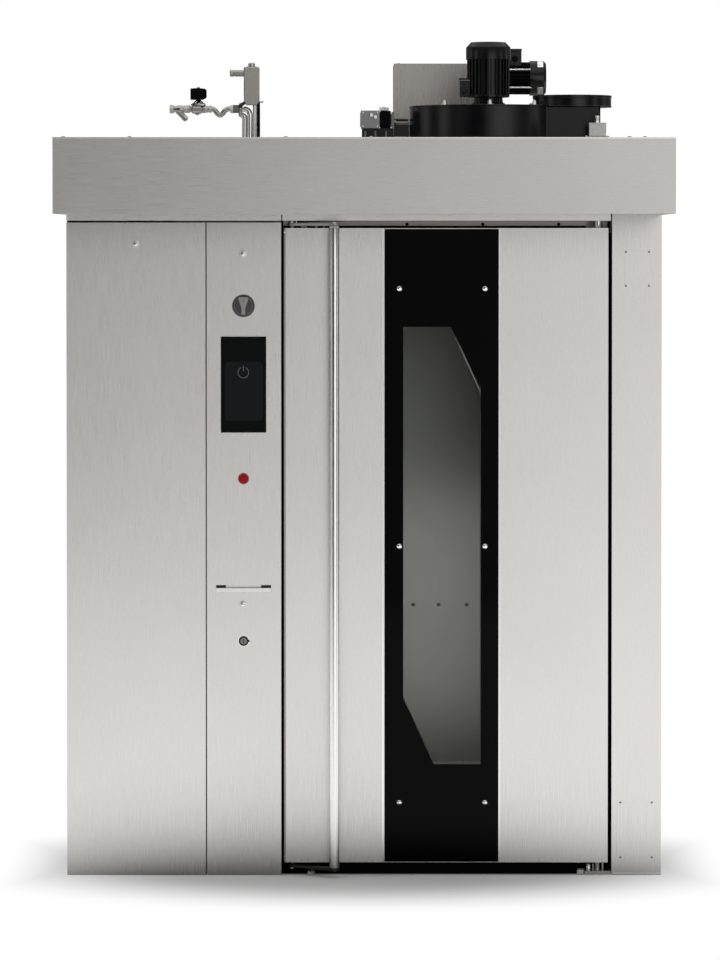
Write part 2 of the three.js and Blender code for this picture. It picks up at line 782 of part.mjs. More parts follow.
function buildExtractor() {
  const bottom = hoodTop + seam;
  const collarY = outletFront + outletWidth / 2;
  const outletMouth = Math.min(outletEnd - collarX, outletWidth / 2) - 3 * scrollWall;
  const housing = prismGeometry(scrollOutline(0), [], bottom, scrollHeight);
  const collar = rodGeometry("z", collarRadius, collarHeight, [collarX, collarY, scrollTop - scrollWall], 40);
  const hollow = prismGeometry(scrollOutline(scrollWall), [], bottom + scrollWall, scrollHeight - 2 * scrollWall);
  const inlet = rodGeometry("z", fanInletRadius, 3 * scrollWall, [scrollX, scrollY, bottom - scrollWall], 36);
  const collarBore = rodGeometry("z", collarRadius - scrollWall, collarHeight, [collarX, collarY, scrollTop + scrollWall], 40);
  const mouth = rodGeometry("z", outletMouth, 4 * scrollWall, [collarX, collarY, scrollTop - 2 * scrollWall], 36);
  const shaftHole = rodGeometry("z", fanShaftRadius + stemPlay, 4 * scrollWall, [scrollX, scrollY, scrollTop - 2 * scrollWall]);
  addPart(cabinet, "extractor_scroll", blackPaint, carve([housing, collar], [hollow, inlet, collarBore, mouth, shaftHole]));

  const impeller = addPart(
    cabinet,
    "extractor_impeller",
    darkSteel,
    fanWheel(impellerRadius, impellerHeight, impellerBlades, fanShaftRadius, scrollHeight - impellerHeight + 20),
  );
  impeller.position.set(scrollX, scrollY, bottom + scrollWall + 8);
  buildExtractorMotor();
}

// Fins along the motor, drawn as teeth of its cross-section.
function finnedOutline(radius, fins, height) {
  const points = [];
  for (let i = 0; i < fins; i++) {
    for (const [share, r] of [[0, radius], [0.3, radius + height], [0.6, radius + height], [0.9, radius]]) {
      const angle = (2 * Math.PI * (i + share)) / fins;
      points.push([r * Math.cos(angle), r * Math.sin(angle)]);
    }
  }
  return points;
}

// A motor that stands on Z: foot flange, finned body, shouldered cowl, terminal box and an open bore for the shaft.
function motorGeometry(bodyRadius, bodyLength, flangeRadius, flangeHeight, cowlSize, shaftRadius, boxOffset) {
  const shoulder = 12;
  const cowl = new THREE.LatheGeometry(
    [
      [0, 0],
      [cowlSize.radius, 0],
      [cowlSize.radius, cowlSize.length - shoulder],
      [cowlSize.radius - shoulder, cowlSize.length],
      [0, cowlSize.length],
    ].map(([r, z]) => new THREE.Vector2(r, z)),
    32,
  );
  cowl.rotateX(Math.PI / 2).translate(0, 0, flangeHeight + bodyLength - 1);
  const body = prismGeometry(finnedOutline(bodyRadius - finHeight, motorFins, finHeight), [], flangeHeight - 1, bodyLength);
  const box = boxGeometry(
    [-bodyRadius - terminalBoxReach, 0],
    [-terminalBoxWidth / 2, terminalBoxWidth / 2],
    [flangeHeight + boxOffset, flangeHeight + boxOffset + terminalBoxLength],
  );
  const bore = rodGeometry("z", shaftRadius + stemPlay, flangeHeight + 30, [0, 0, -5]);
  return carve([rodGeometry("z", flangeRadius, flangeHeight, [0, 0, 0], 32), body, cowl, box], [bore]);
}

function buildExtractorMotor() {
  const cowlSize = { radius: cowlRadius, length: cowlLength };
  const geometry = motorGeometry(
    motorRadius,
    motorLength - motorFlangeHeight + 2,
    motorFlangeRadius,
    motorFlangeHeight,
    cowlSize,
    fanShaftRadius,
    0,
  );
  const motor = addPart(cabinet, "extractor_motor", blackPaint, geometry);
  motor.position.set(scrollX, scrollY, scrollTop + seam);
}

// ---------------------------------------------------------------- rack drive on the cabinet roof

function toothedOutline(x, y, radius, teeth) {
  const depth = 4;
  const points = [];
  for (let i = 0; i < teeth; i++) {
    for (const [share, r] of [[0, radius - depth], [0.45, radius - depth], [0.6, radius], [0.85, radius]]) {
      const angle = (2 * Math.PI * (i + share)) / teeth;
      points.push([x + r * Math.cos(angle), y + r * Math.sin(angle)]);
    }
  }
  return points;
}

// The loop that runs round both sprockets, clear of their teeth.
function chainLoop(radiusA, radiusB, offset) {
  const lean = Math.asin((radiusA - radiusB) / offset);
  const points = [];
  const steps = 16;
  const big = [Math.PI / 2 - lean, 1.5 * Math.PI + lean];
  for (let i = 0; i <= steps; i++) {
    const angle = big[0] + ((big[1] - big[0]) * i) / steps;
    points.push([shaftX + radiusA * Math.cos(angle), shaftY + radiusA * Math.sin(angle)]);
  }
  const small = [1.5 * Math.PI + lean, 2.5 * Math.PI - lean];
  for (let i = 0; i <= steps; i++) {
    const angle = small[0] + ((small[1] - small[0]) * i) / steps;
    points.push([shaftX + offset + radiusB * Math.cos(angle), shaftY + radiusB * Math.sin(angle)]);
  }
  return points;
}

function buildRackDrive() {
  const x = [shaftX - driveBoxWidth / 2, shaftX + driveBoxWidth / 2];
  const y = [shaftY - driveBoxDepth / 2, shaftY + driveBoxDepth / 2];
  const bottom = roofHeight + seam;
  const hollow = boxGeometry(
    [x[0] + driveBoxWall, x[1] - driveBoxWall],
    [y[0] + driveBoxWall, y[1] - driveBoxWall],
    [bottom - driveBoxWall, driveTop - driveBoxWall],
  );
  const motorHole = rodGeometry("x", gearmotorRadius - 10, 6 * driveBoxWall, [x[1] - 3 * driveBoxWall, shaftY, gearmotorZ]);
  addPart(
    cabinet,
    "drive_housing",
    brushedSteel,
    carve([boxGeometry(x, y, [bottom, driveTop])], [hollow, motorHole]),
  );

  const bearing = carve(
    [
      rodGeometry("z", bearingRadius, 12, [shaftX, shaftY, bottom], 32),
      rodGeometry("z", bearingRadius * 0.6, bearingHeight, [shaftX, shaftY, bottom], 32),
    ],
    [rodGeometry("z", rackShaftRadius + seam, 2 * bearingHeight, [shaftX, shaftY, bottom - 10], 32)],
  );
  addPart(cabinet, "roof_bearing", darkSteel, bearing);

  buildGearmotor(x[1]);

  const chainGap = 1.5;
  const outer = chainLoop(sprocketRadius + chainGap + chainWidth, pinionRadius + chainGap + chainWidth, pinionOffset);
  const inner = chainLoop(sprocketRadius + chainGap, pinionRadius + chainGap, pinionOffset);
  addPart(cabinet, "drive_chain", darkSteel, prismGeometry(outer, [inner], sprocketZ, sprocketThickness));

  const pinionShaftTop = gearmotorZ - gearmotorRadius - seam;
  const pinion = carve([
    prismGeometry(toothedOutline(0, 0, pinionRadius, pinionTeeth), [], 0, sprocketThickness),
    rodGeometry("z", pinionShaftRadius, pinionShaftTop - sprocketZ + pinionShaftBite, [0, 0, 0], 16),
  ]);
  addPart(cabinet, "drive_sprocket", chrome, pinion).position.set(pinionX, shaftY, sprocketZ);
}

// Worm gearbox inside the housing; the motor lies outside, along X.
function buildGearmotor(wallX) {
  const flange = 6;
  const gearboxLeft = pinionX - 34;
  const bodyRadius = gearmotorRadius;
  const bodyStart = wallX + seam + flange;
  const bodyLength = gearmotorLength - cowlLength;
  const fins = prismGeometry(finnedOutline(bodyRadius - finHeight, motorFins, finHeight), [], 0, bodyLength + 1);
  fins.rotateY(Math.PI / 2).translate(bodyStart - 1, shaftY, gearmotorZ);
  const boxLeft = bodyStart + gearmotorBoxFromFlange;
  const boxTop = gearmotorZ + bodyRadius + terminalBoxReach + 16;
  const parts = [
    boxGeometry([gearboxLeft, wallX - 2 * driveBoxWall], [shaftY - 36, shaftY + 36], [gearmotorZ - 40, gearmotorZ + 36]),
    rodGeometry("x", 30, bodyStart - gearboxLeft - 20, [gearboxLeft + 20, shaftY, gearmotorZ]),
    rodGeometry("x", bodyRadius + 4, flange, [wallX + seam, shaftY, gearmotorZ], 32),
    fins,
    rodGeometry("x", bodyRadius + 4, cowlLength, [bodyStart + bodyLength - 1, shaftY, gearmotorZ], 32),
    boxGeometry([boxLeft, boxLeft + gearmotorBoxLength], [shaftY - 28, shaftY + 28], [gearmotorZ, boxTop]),
  ];
  const boreLength = gearmotorRadius + pinionShaftBite;
  const bore = rodGeometry("z", pinionShaftRadius + stemPlay, boreLength, [pinionX, shaftY, gearmotorZ - gearmotorRadius - pinionShaftBite], 16);
  addPart(cabinet, "rack_gearmotor", blackPaint, carve(parts, [bore]));
}

// ---------------------------------------------------------------- small fittings on the roofs

function buildDamper() {
  const base = hoodTop + seam;
  const y = [scrollY - actuatorDepth / 2, scrollY + actuatorDepth / 2];
  const bodyX = [actuatorRight - actuatorWidth, actuatorRight];
  const bodyBottom = base + actuatorPost + actuatorBaseHeight;
  const knobX = actuatorRight - 30;
  const knobBottom = bodyBottom + actuatorHeight + seam;
  const drum = scrollX - scrollRadius;
  const linkY = [scrollY - actuatorLinkWidth / 2, scrollY + actuatorLinkWidth / 2];
  addPart(
    cabinet,
    "damper_actuator",
    greyPlastic,
    carve(
      [
        boxGeometry([bodyX[0] - 28, bodyX[1] - 10], y, [base, base + actuatorBaseHeight]),
        boxGeometry([bodyX[0] + 10, bodyX[0] + 34], [y[0] + 20, y[1] - 20], [base, bodyBottom + 2]),
        boxGeometry(bodyX, y, [bodyBottom, bodyBottom + actuatorHeight]),
        boxGeometry([bodyX[1] - 1, drum - 2], linkY, [base + actuatorLinkBottom, base + actuatorLinkBottom + actuatorLinkHeight]),
        rodGeometry("x", damperShaftRadius, drum - seam - bodyX[1] + 1, [bodyX[1] - 1, scrollY, base + actuatorRodLevel]),
      ],
      [rodGeometry("z", 4 + stemPlay, 40, [knobX, scrollY, knobBottom - 30], 12)],
    ),
  );
  const knob = carve([
    rodGeometry("z", damperKnobRadius, damperKnobHeight, [0, 0, 0], 6),
    rodGeometry("z", 4, 30, [0, 0, -22], 12),
  ]);
  addPart(cabinet, "damper_knob", lightPlastic, knob).position.set(knobX, scrollY, knobBottom);
}

function buildJunction() {
  const base = hoodTop + seam;
  const y = [hoodFront + junctionFromHoodFront, hoodFront + junctionFromHoodFront + junctionDepth];
  const box = boxGeometry([junctionX - junctionWidth / 2, junctionX + junctionWidth / 2], y, [base, base + junctionHeight]);
  const foot = boxGeometry([junctionX - junctionWidth / 2 - 12, junctionX + junctionWidth / 2 + 10], y, [base, base + 3]);
  const gland = rodGeometry("z", junctionGland, junctionGlandHeight, [junctionX, (y[0] + y[1]) / 2, base + junctionHeight - 1], 6);
  addPart(cabinet, "roof_junction_box", brushedSteel, carve([box, foot, gland]));
}

// A tube that follows points given in X and Z, in the plane y.
function pipeAlong(points, y, steps) {
  const ring = circlePoints(0, 0, pipeRadius, 8).map(([a, b]) => new THREE.Vector2(a, b));
  const route = points.map(([px, pz]) => new THREE.Vector3(px, y, pz));
  const extrudePath = new THREE.CatmullRomCurve3(route, false, "chordal");
  return new THREE.ExtrudeGeometry(new THREE.Shape(ring), { steps, bevelEnabled: false, extrudePath });
}

// Water line for steam: strainer, solenoid valve, dipped pipe, check valve and riser, all on one axis.
function buildPlumbing() {
  const z = roofHeight + pipeLevel;
  const y = front + plumbingFromFront;
  const strainerLeft = left + strainerFromLeft;
  const valveLeft = strainerLeft + strainerLength + seam;
  const valveRight = valveLeft + valveLength;
  const coilX = (valveLeft + valveRight) / 2 + coilFromValveMiddle;
  const valveTop = z + valveHalf - 1;
  const neckTop = valveTop + valveNeck - 1;
  const leg = rodGeometry("x", 9, strainerLeg, [0, 0, 0], 12).rotateY(Math.PI / 4);
  addPart(
    cabinet,
    "water_strainer",
    brass,
    carve([
      rodGeometry("x", 15, strainerNut, [strainerLeft, y, z], 6),
      rodGeometry("x", strainerRadius, strainerLength - 12, [strainerLeft + 12, y, z], 16),
      leg.translate(strainerLeft + strainerNut + 4, y, z),
    ]),
  );
  addPart(
    cabinet,
    "solenoid_valve",
    brass,
    carve([
      boxGeometry([valveLeft, valveRight], [y - valveHalf, y + valveHalf], [z - valveHalf, valveTop]),
      rodGeometry("x", 13, unionLength + 2, [valveRight - 2, y, z], 6),
      rodGeometry("z", 11, valveNeck, [coilX, y, valveTop - 1], 16),
    ]),
  );
  addPart(
    cabinet,
    "solenoid_coil",
    blackPaint,
    boxGeometry(
      [coilX - coilHalf, coilX + coilHalf],
      [y - 20, y + 20],
      [neckTop + seam, neckTop + seam + coilHeight],
    ),
  );

  const pipeStart = valveRight + unionLength + seam;
  const checkLeft = pipeStart + checkValveFromUnion;
  const checkRight = checkLeft + checkValveLength;
  const riserX = checkRight + elbowReach;
  const dipEnd = checkLeft - pipeStart;
  const dip = pipeAlong(
    [
      [pipeStart, z],
      [pipeStart + dipEnd * 0.16, z],
      [pipeStart + dipEnd * 0.34, z - trapDrop * 0.5],
      [pipeStart + dipEnd * 0.5, z - trapDrop],
      [pipeStart + dipEnd * 0.66, z - trapDrop * 0.5],
      [pipeStart + dipEnd * 0.84, z],
      [checkLeft + 4, z],
    ],
    y,
    18,
  );
  const elbow = pipeAlong(
    [
      [checkRight - 4, z],
      [riserX - elbowReach * 0.7, z],
      [riserX - elbowReach * 0.18, z - elbowReach * 0.24],
      [riserX, z - elbowReach * 0.9],
      [riserX, roofHeight + seam],
    ],
    y,
    10,
  );
  addPart(
    cabinet,
    "water_pipe",
    brass,
    carve([
      dip,
      boxGeometry([checkLeft, checkRight], [y - 16, y + 16], [z - 14, z + 14]),
      rodGeometry("x", 21, 10, [checkRight - 14, y, z], 20),
      elbow,
    ]),
  );
  buildVent(riserX + ventFromRiser, y);
}

// The boiler vent: a tapered box on its own riser, with a cap and a side nipple.
function buildVent(x, y) {
  const half = ventBoxWidth / 2;
  const bottom = roofHeight + ventBoxAboveRoof;
  const top = bottom + ventBoxHeight;
  const body = frontPrismGeometry(
    [
      [x - half * 0.78, bottom - ventTaper],
      [x + half * 0.78, bottom - ventTaper],
      [x + half, bottom],
      [x + half, top],
      [x - half, top],
      [x - half, bottom],
    ],
    y - half,
    ventBoxWidth,
  );
  addPart(
    cabinet,
    "vent_box",
    brushedSteel,
    carve([
      rodGeometry("z", pipeRadius, ventBoxAboveRoof, [x + ventRiserOffset, y, roofHeight + seam], 16),
      body,
      rodGeometry("z", half * 0.7, 4, [x, y, top - 1]),
      rodGeometry("z", half * 0.42, ventCapHeight, [x, y, top - 1]),
      rodGeometry("x", 11, half + ventNipple, [x - half - ventNipple, y, top - ventNippleFromTop], 16),
    ]),
  );
}

// ---------------------------------------------------------------- door and its hinges

function buildHinges() {
  const x = [hingeX - hingePlateWidth / 2, hingeX + hingePlateWidth / 2];
  const y = [front + sheet + seam, frameFront - seam];
  const lowTop = hingePlateBottom + hingePlateThickness;
  addPart(
    cabinet,
    "bottom_hinge",
    darkSteel,
    carve([
      boxGeometry(x, y, [hingePlateBottom, lowTop]),
      rodGeometry("z", hingePinRadius, doorBottom + pinBite - lowTop + 1, [hingeX, hingeY, lowTop - 1]),
      rodGeometry("z", hingePinRadius + 4, doorBottom - seam - lowTop, [hingeX, hingeY, lowTop]),
    ]),
  );
  const highBottom = lintelBottom + sheet + seam;
  const highX = [hingeX - topHingeWidth / 2, hingeX + topHingeWidth / 2];
  addPart(
    cabinet,
    "top_hinge",
    darkSteel,
    carve([
      boxGeometry(highX, y, [highBottom, highBottom + hingePlateThickness]),
      rodGeometry("z", hingePinRadius, highBottom - doorTop + pinBite + 1, [hingeX, hingeY, doorTop - pinBite]),
    ]),
  );
}

function windowPoints(grow) {
  const x = [windowLeft - grow, windowLeft + windowWidth + grow];
  const z = [windowBottom - grow, windowBottom + windowHeight + grow];
  return [
    [x[0], z[0] + windowCutHeight],
    [x[0] + windowCutWidth, z[0]],
    [x[1], z[0]],
    [x[1], z[1] - windowCutHeight],
    [x[1] - windowCutWidth, z[1]],
    [x[0], z[1]],
  ];
}

function buildDoor() {
  const door = groupAt(cabinet, hingeX, hingeY, 0);
  const z = [doorBottom, doorTop];
  const shared = 2; // depth of the cut beyond each sheet
  const pinHoles = [z[0] - shared, z[1] - doorSkin - shared].map((bottom) => ({ bottom, height: doorSkin + 2 * shared }));
  const hole = (px, py, radius) =>
    pinHoles.map(({ bottom, height }) => rodGeometry("z", radius + pinPlay, height, [px, py, bottom]));

  const [leftPan, leftHollow] = folded([doorLeft, glassLeft - seam], z, front, doorSkinDepth, doorSkin);
  addPart(
    door,
    "door_left_skin",
    brushedSteel,
    carve([leftPan], [leftHollow, ...hole(pivotX, pivotY, handlePinRadius)]),
  );
  const [rightPan, rightHollow] = folded([glassRight + seam, doorRight], z, front, doorSkinDepth, doorSkin);
  addPart(
    door,
    "door_right_skin",
    brushedSteel,
    carve([rightPan], [rightHollow, ...hole(hingeX, hingeY, hingePinRadius)]),
  );
  addPart(
    door,
    "door_glass",
    blackGlass,
    boxGeometry([glassLeft, glassRight], [front, front + glassThickness], [z[0] + glassInset, z[1] - glassInset]),
  );

  const linerFront = doorSplit + seam;
  const outer = boxGeometry([doorLeft, doorRight], [linerFront, doorBack], z);
  const pocket = boxGeometry(
    [doorLeft + doorSkin, doorRight - doorSkin],
    [linerFront - doorSkin, doorBack - doorSkin],
    [z[0] + doorSkin, z[1] - doorSkin],
  );
  const pan = toGeometry(toSolid(outer).subtract(toSolid(pocket)));
  const tunnelFront = front + glassThickness + seam;
  const tunnel = frontPrismGeometry(windowPoints(windowFrameWall), tunnelFront, doorBack - tunnelFront);
  const sight = frontPrismGeometry(windowPoints(0), tunnelFront - doorSkin, doorDepth);
  const rebateDepth = glassThickness + seam;
  const rebate = frontPrismGeometry(windowPoints(windowFrameWall * 0.5), doorBack - rebateDepth, rebateDepth + 1);
  addPart(door, "door_liner", innerSteel, carve([pan, tunnel], [sight, rebate]));

  const paneInset = windowFrameWall * 0.5 - seam;
  addPart(
    door,
    "inner_door_glass",
    clearGlass,
    frontPrismGeometry(windowPoints(paneInset), doorBack - glassThickness, glassThickness),
  );

  const core = boxGeometry(
    [doorLeft + doorSkin + seam, doorRight - doorSkin - seam],
    [linerFront, doorBack - doorSkin - seam],
    [z[0] + doorSkin + seam, z[1] - doorSkin - seam],
  );
  const coreHole = frontPrismGeometry(windowPoints(windowFrameWall + seam), linerFront - 1, doorDepth);
  addPart(door, "door_core", mineralWool, carve([core], [coreHole]));

  const gasketX = [openingLeft - openingOverlap - gasketWidth, openingRight + openingOverlap + gasketWidth];
  const gasketZ = [floorLevel + 1, openingTop + openingOverlap + gasketWidth];
  const gasketY = [doorBack + seam, doorBack + seam + gasketDepth];
  const band = boxGeometry(gasketX, gasketY, gasketZ);
  const bore = boxGeometry(
    [gasketX[0] + gasketWidth, gasketX[1] - gasketWidth],
    [gasketY[0] - 1, gasketY[1] + 1],
    [gasketZ[0] + gasketWidth, gasketZ[1] - gasketWidth],
  );
  addPart(door, "door_gasket", rubber, carve([band], [bore]));
  buildHandle(door);
}

// A cranked flat arm from the pivot to the bar, with its pin into the door.
function handleArm(bottom, pinLow, pinHigh) {
  const half = handleArmWidth / 2;
  const dx = handleX - pivotX;
  const dy = handleY - pivotY;
  const length = Math.hypot(dx, dy);
  const angle = Math.atan2(dy, dx);
  const bar = boxGeometry([0, length], [-half, half], [bottom, bottom + handleArmThickness]);
  bar.rotateZ(angle).translate(pivotX, pivotY, 0);
  return carve([
    bar,
    rodGeometry("z", half, handleArmThickness, [pivotX, pivotY, bottom], 20),
    rodGeometry("z", handleRadius, handleArmThickness, [handleX, handleY, bottom], 28),
    rodGeometry("z", handlePinRadius, pinHigh - pinLow, [pivotX, pivotY, pinLow], 20),
  ]);
}

function buildHandle(door) {
  const handle = groupAt(door, pivotX, pivotY, 0);
  const topArm = doorTop + handleArmGap;
  const lowArm = doorBottom - handleArmGap - handleArmThickness - 2;
  const barZ = [lowArm + handleArmThickness + seam, topArm - seam];
  const collarHeightLow = 12;
  const bar = carve([
    rodGeometry("z", handleRadius, barZ[1] - barZ[0], [handleX, handleY, barZ[0]], 28),
    rodGeometry("z", handleRadius + 1.5, collarHeightLow, [handleX, handleY, barZ[0]], 28),
  ]);
  addPart(handle, "handle_bar", brushedSteel, bar);
  addPart(handle, "handle_arm_top", brushedSteel, handleArm(topArm, doorTop - pinBite, topArm + 1));
  addPart(handle, "handle_arm_bottom", brushedSteel, handleArm(lowArm, lowArm + 1, doorBottom + pinBite));
}

// ---------------------------------------------------------------- control column

function buildControls() {
  const column = groupAt(cabinet, controlLeft, front, 0);
  const [pan, hollow] = folded([controlLeft, controlRight], [0, panelTop], front, foldDepth, sheet);
  const through = [front - sheet, front + 2 * sheet];
  const lip = [lipHeight - lipRise / 2, lipHeight + lipRise / 2];
  const lipX = [controlX - lipWidth / 2, controlX + lipWidth / 2];
  const screenZ = [screenBottom, screenBottom + screenHeight];
  const screenX = [controlX - screenWidth / 2, controlX + screenWidth / 2];
  const stem = (height, radius) => rodGeometry("y", radius + stemPlay, 4 * sheet, [controlX, front - sheet, height]);
  const slot = boxGeometry(lipX, [front - sheet, front + lipDepth], lip);
  const lipShelf = boxGeometry([lipX[0] - sheet, lipX[1] + sheet], [front, front + lipDepth + sheet], [lip[0] - sheet, lip[1] + sheet]);
  const screenHole = boxGeometry([screenX[0] - seam, screenX[1] + seam], through, [screenZ[0] - seam, screenZ[1] + seam]);
  const shell = toGeometry(toSolid(pan).subtract(toSolid(hollow)));
  addPart(
    column,
    "control_panel",
    brushedSteel,
    carve(
      [shell, lipShelf],
      [slot, screenHole, stem(knobHeight, knobBossRadius), stem(stopHeight, stopRadius - 4), stem(lockHeight, lockRadius - 5)],
    ),
  );
  addPart(
    column,
    "touch_screen",
    blackGlass,
    boxGeometry(screenX, [front - screenProud, front + screenDepth - screenProud], screenZ),
  );

  const knob = carve([
    rodGeometry("y", knobRadius, knobDepth, [0, -knobDepth - seam, 0], 36),
    rodGeometry("y", knobBossRadius, knobDepth, [0, -2, 0], 20),
  ]);
  addPart(column, "main_switch_knob", greyPlastic, knob).position.set(controlX - controlLeft, 0, knobHeight);

  const button = carve([
    rodGeometry("y", stopRadius, stopProud - stopTravel - 1, [0, -stopProud, 0], 28),
    rodGeometry("y", stopRadius - 4, stopProud + 10, [0, -stopProud + 1, 0], 20),
  ]);
  addPart(column, "stop_button", redPlastic, button).position.set(controlX - controlLeft, 0, stopHeight);

  const lock = carve([
    rodGeometry("y", lockRadius, lockProud, [0, -lockProud - seam, 0], 28),
    rodGeometry("y", lockRadius - 5, lockDepth, [0, -2, 0], 20),
    boxGeometry([0, lockRadius + 5], [-lockProud - seam, -seam], [-5, 5]),
    boxGeometry([-8, 8], [lockDepth - 6, lockDepth - 3], [-8, 34]),
  ]);
  addPart(column, "cam_lock", blackPaint, lock).position.set(controlX - controlLeft, 0, lockHeight);
}

// ---------------------------------------------------------------- turning rack carrier

function buildCarrier() {
  const carrier = groupAt(cabinet, shaftX, shaftY, 0);
  const shaftTop = sprocketZ + sprocketThickness + shaftAboveSprocket;
  const shaftBottom = carrierLevel + carrierThickness;
  const rib = 3;
  const shaft = carve([
    rodGeometry("z", rackShaftRadius, shaftTop - shaftBottom - seam, [0, 0, shaftBottom + seam], 28),
    prismGeometry(toothedOutline(0, 0, sprocketRadius, sprocketTeeth), [], sprocketZ, sprocketThickness),
  ]);
  addPart(carrier, "rack_shaft", chrome, shaft).position.set(0, 0, 0);

  const half = carrierLength / 2;
  const parts = [
    boxGeometry([-half, half], [-carrierWidth / 2, carrierWidth / 2], [carrierLevel, carrierLevel + carrierThickness]),
  ];
  for (const side of [-1, 1]) {
    const edge = [side * half, side * (half - carrierThickness)].sort((a, b) => a - b);
    const toe = [side * half, side * (half - hookLength)].sort((a, b) => a - b);
    parts.push(boxGeometry(edge, [-carrierWidth / 2, carrierWidth / 2], [carrierLevel - hookDrop, carrierLevel + rib]));
    parts.push(
      boxGeometry(toe, [-carrierWidth / 2, carrierWidth / 2], [
        carrierLevel - hookDrop,
        carrierLevel - hookDrop + carrierThickness,
      ]),
    );
  }
  addPart(carrier, "rack_carrier", innerSteel, carve(parts)).position.set(0, 0, 0);
}

buildBase();
buildOuterPanels();
buildDoorFrame();
buildChamber();
buildInsulation();
buildCirculation();
buildHeater();
buildCascade();
buildElectricalBox();
buildHood();
buildExtractor();
buildRackDrive();
buildDamper();
buildJunction();
buildPlumbing();
buildHinges();
buildDoor();
buildControls();
buildCarrier();

export default oven;
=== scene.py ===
import math

import bmesh
import bpy
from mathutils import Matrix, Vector


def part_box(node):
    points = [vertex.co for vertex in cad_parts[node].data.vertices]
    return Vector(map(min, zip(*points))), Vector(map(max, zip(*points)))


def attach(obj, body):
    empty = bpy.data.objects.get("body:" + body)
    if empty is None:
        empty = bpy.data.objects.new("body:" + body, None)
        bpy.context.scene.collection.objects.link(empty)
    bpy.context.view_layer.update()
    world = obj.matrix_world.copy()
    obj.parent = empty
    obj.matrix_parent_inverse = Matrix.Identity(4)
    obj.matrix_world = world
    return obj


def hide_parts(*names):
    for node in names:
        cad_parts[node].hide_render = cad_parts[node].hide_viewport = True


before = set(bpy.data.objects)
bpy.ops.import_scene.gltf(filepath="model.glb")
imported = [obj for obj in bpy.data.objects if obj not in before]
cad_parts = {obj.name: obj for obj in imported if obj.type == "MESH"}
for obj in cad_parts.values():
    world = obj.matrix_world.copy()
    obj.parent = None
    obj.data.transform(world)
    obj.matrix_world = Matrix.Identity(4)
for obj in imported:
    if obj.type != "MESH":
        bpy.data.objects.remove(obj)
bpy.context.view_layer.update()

MM = 0.001

# ------------------------------------------------------------------ camera

CAMERA_PLACE = (-0.0124, -13.903, 1.9685)
CAMERA_PITCH = 1.328  # degrees below the horizon
CAMERA_LENS = 161.08
CAMERA_SHIFT_Y = -0.15
CAMERA_CLIP = (0.05, 200.0)


def make_camera():
    data = bpy.data.cameras.new("camera")
    data.lens = CAMERA_LENS
    data.sensor_width = 36.0
    data.shift_y = CAMERA_SHIFT_Y
    data.clip_start, data.clip_end = CAMERA_CLIP
    camera = bpy.data.objects.new("camera", data)
    camera.location = CAMERA_PLACE
    camera.rotation_euler = (math.radians(90.0 - CAMERA_PITCH), 0.0, 0.0)
    bpy.context.scene.collection.objects.link(camera)
    bpy.context.scene.camera = camera


# ------------------------------------------------------------------ node trees

WHITE = (1.0, 1.0, 1.0, 1.0)


class Graph:
    """A node tree in which each node is made together with its settings and inputs."""

    def __init__(self, owner):
        owner.use_nodes = True
        self.nodes, self.links = owner.node_tree.nodes, owner.node_tree.links

    def fill(self, node, inputs):
        """Gives every named input its value, or a link where that is another node's socket."""
        for name, value in inputs.items():
            if isinstance(value, bpy.types.NodeSocket):
                self.links.new(value, node.inputs[name])
            else:
                node.inputs[name].default_value = value

    def add(self, kind, inputs=None, **settings):
        node = self.nodes.new("ShaderNode" + kind)
        for name, value in settings.items():
            setattr(node, name, value)
        self.fill(node, inputs or {})
        return node

    def math(self, operation, *values, clamp=False):
        return self.add("Math", dict(enumerate(values)), operation=operation, use_clamp=clamp).outputs[0]

    def mix(self, factor, one, two):
        return self.add("Mix", {"Factor": factor, "A": one, "B": two}, data_type="FLOAT").outputs[0]

    def spread(self, value, start, end, low=0.0, high=1.0, kind="LINEAR"):
        """Maps start to low and end to high."""
        inputs = {"Value": value, "From Min": start, "From Max": end, "To Min": low, "To Max": high}
        return self.add("MapRange", inputs, interpolation_type=kind).outputs[0]

    def fade(self, value, ends):
        return self.spread(value, *ends, kind="SMOOTHSTEP")

    def length(self, vector):
        return self.add("VectorMath", {0: vector}, operation="LENGTH").outputs["Value"]

    def ramp(self, value, stops, kind="LINEAR"):
        """A colour ramp through stops of (position, colour)."""
        node = self.add("ValToRGB", {"Fac": value})
        node.color_ramp.interpolation = kind
        made = node.color_ramp.elements
        for element, (position, colour) in ((made[0], stops[0]), (made[1], stops[-1])):
            element.position = position
            element.color = colour
        for position, colour in stops[1:-1]:
            made.new(position).color = colour
        return node.outputs["Color"]

    def noise(self, vector, scale, detail=2.0, roughness=0.5):
        inputs = {"Vector": vector, "Scale": scale, "Detail": detail, "Roughness": roughness}
        return self.add("TexNoise", inputs).outputs["Fac"]

    def bump(self, height, strength, distance):
        inputs = {"Height": height, "Strength": strength, "Distance": distance}
        return self.add("Bump", inputs).outputs[0]

    def emission(self, strength):
        return self.add("Emission", {"Color": WHITE, "Strength": strength}).outputs[0]

    def mix_shader(self, share, one, two):
        return self.add("MixShader", {0: share, 1: one, 2: two}).outputs[0]

    def direct_transmission(self, path):
        """1 for a ray that has only passed through glass, 0 once it has bounced off something."""
        bounces = self.math("ADD", path["Diffuse Depth"], path["Glossy Depth"], clamp=True)
        return self.math("MULTIPLY", path["Is Transmission Ray"], self.math("SUBTRACT", 1.0, bounces))


def grey(level):
    return (level, level, level, 1.0)


# ------------------------------------------------------------------ studio

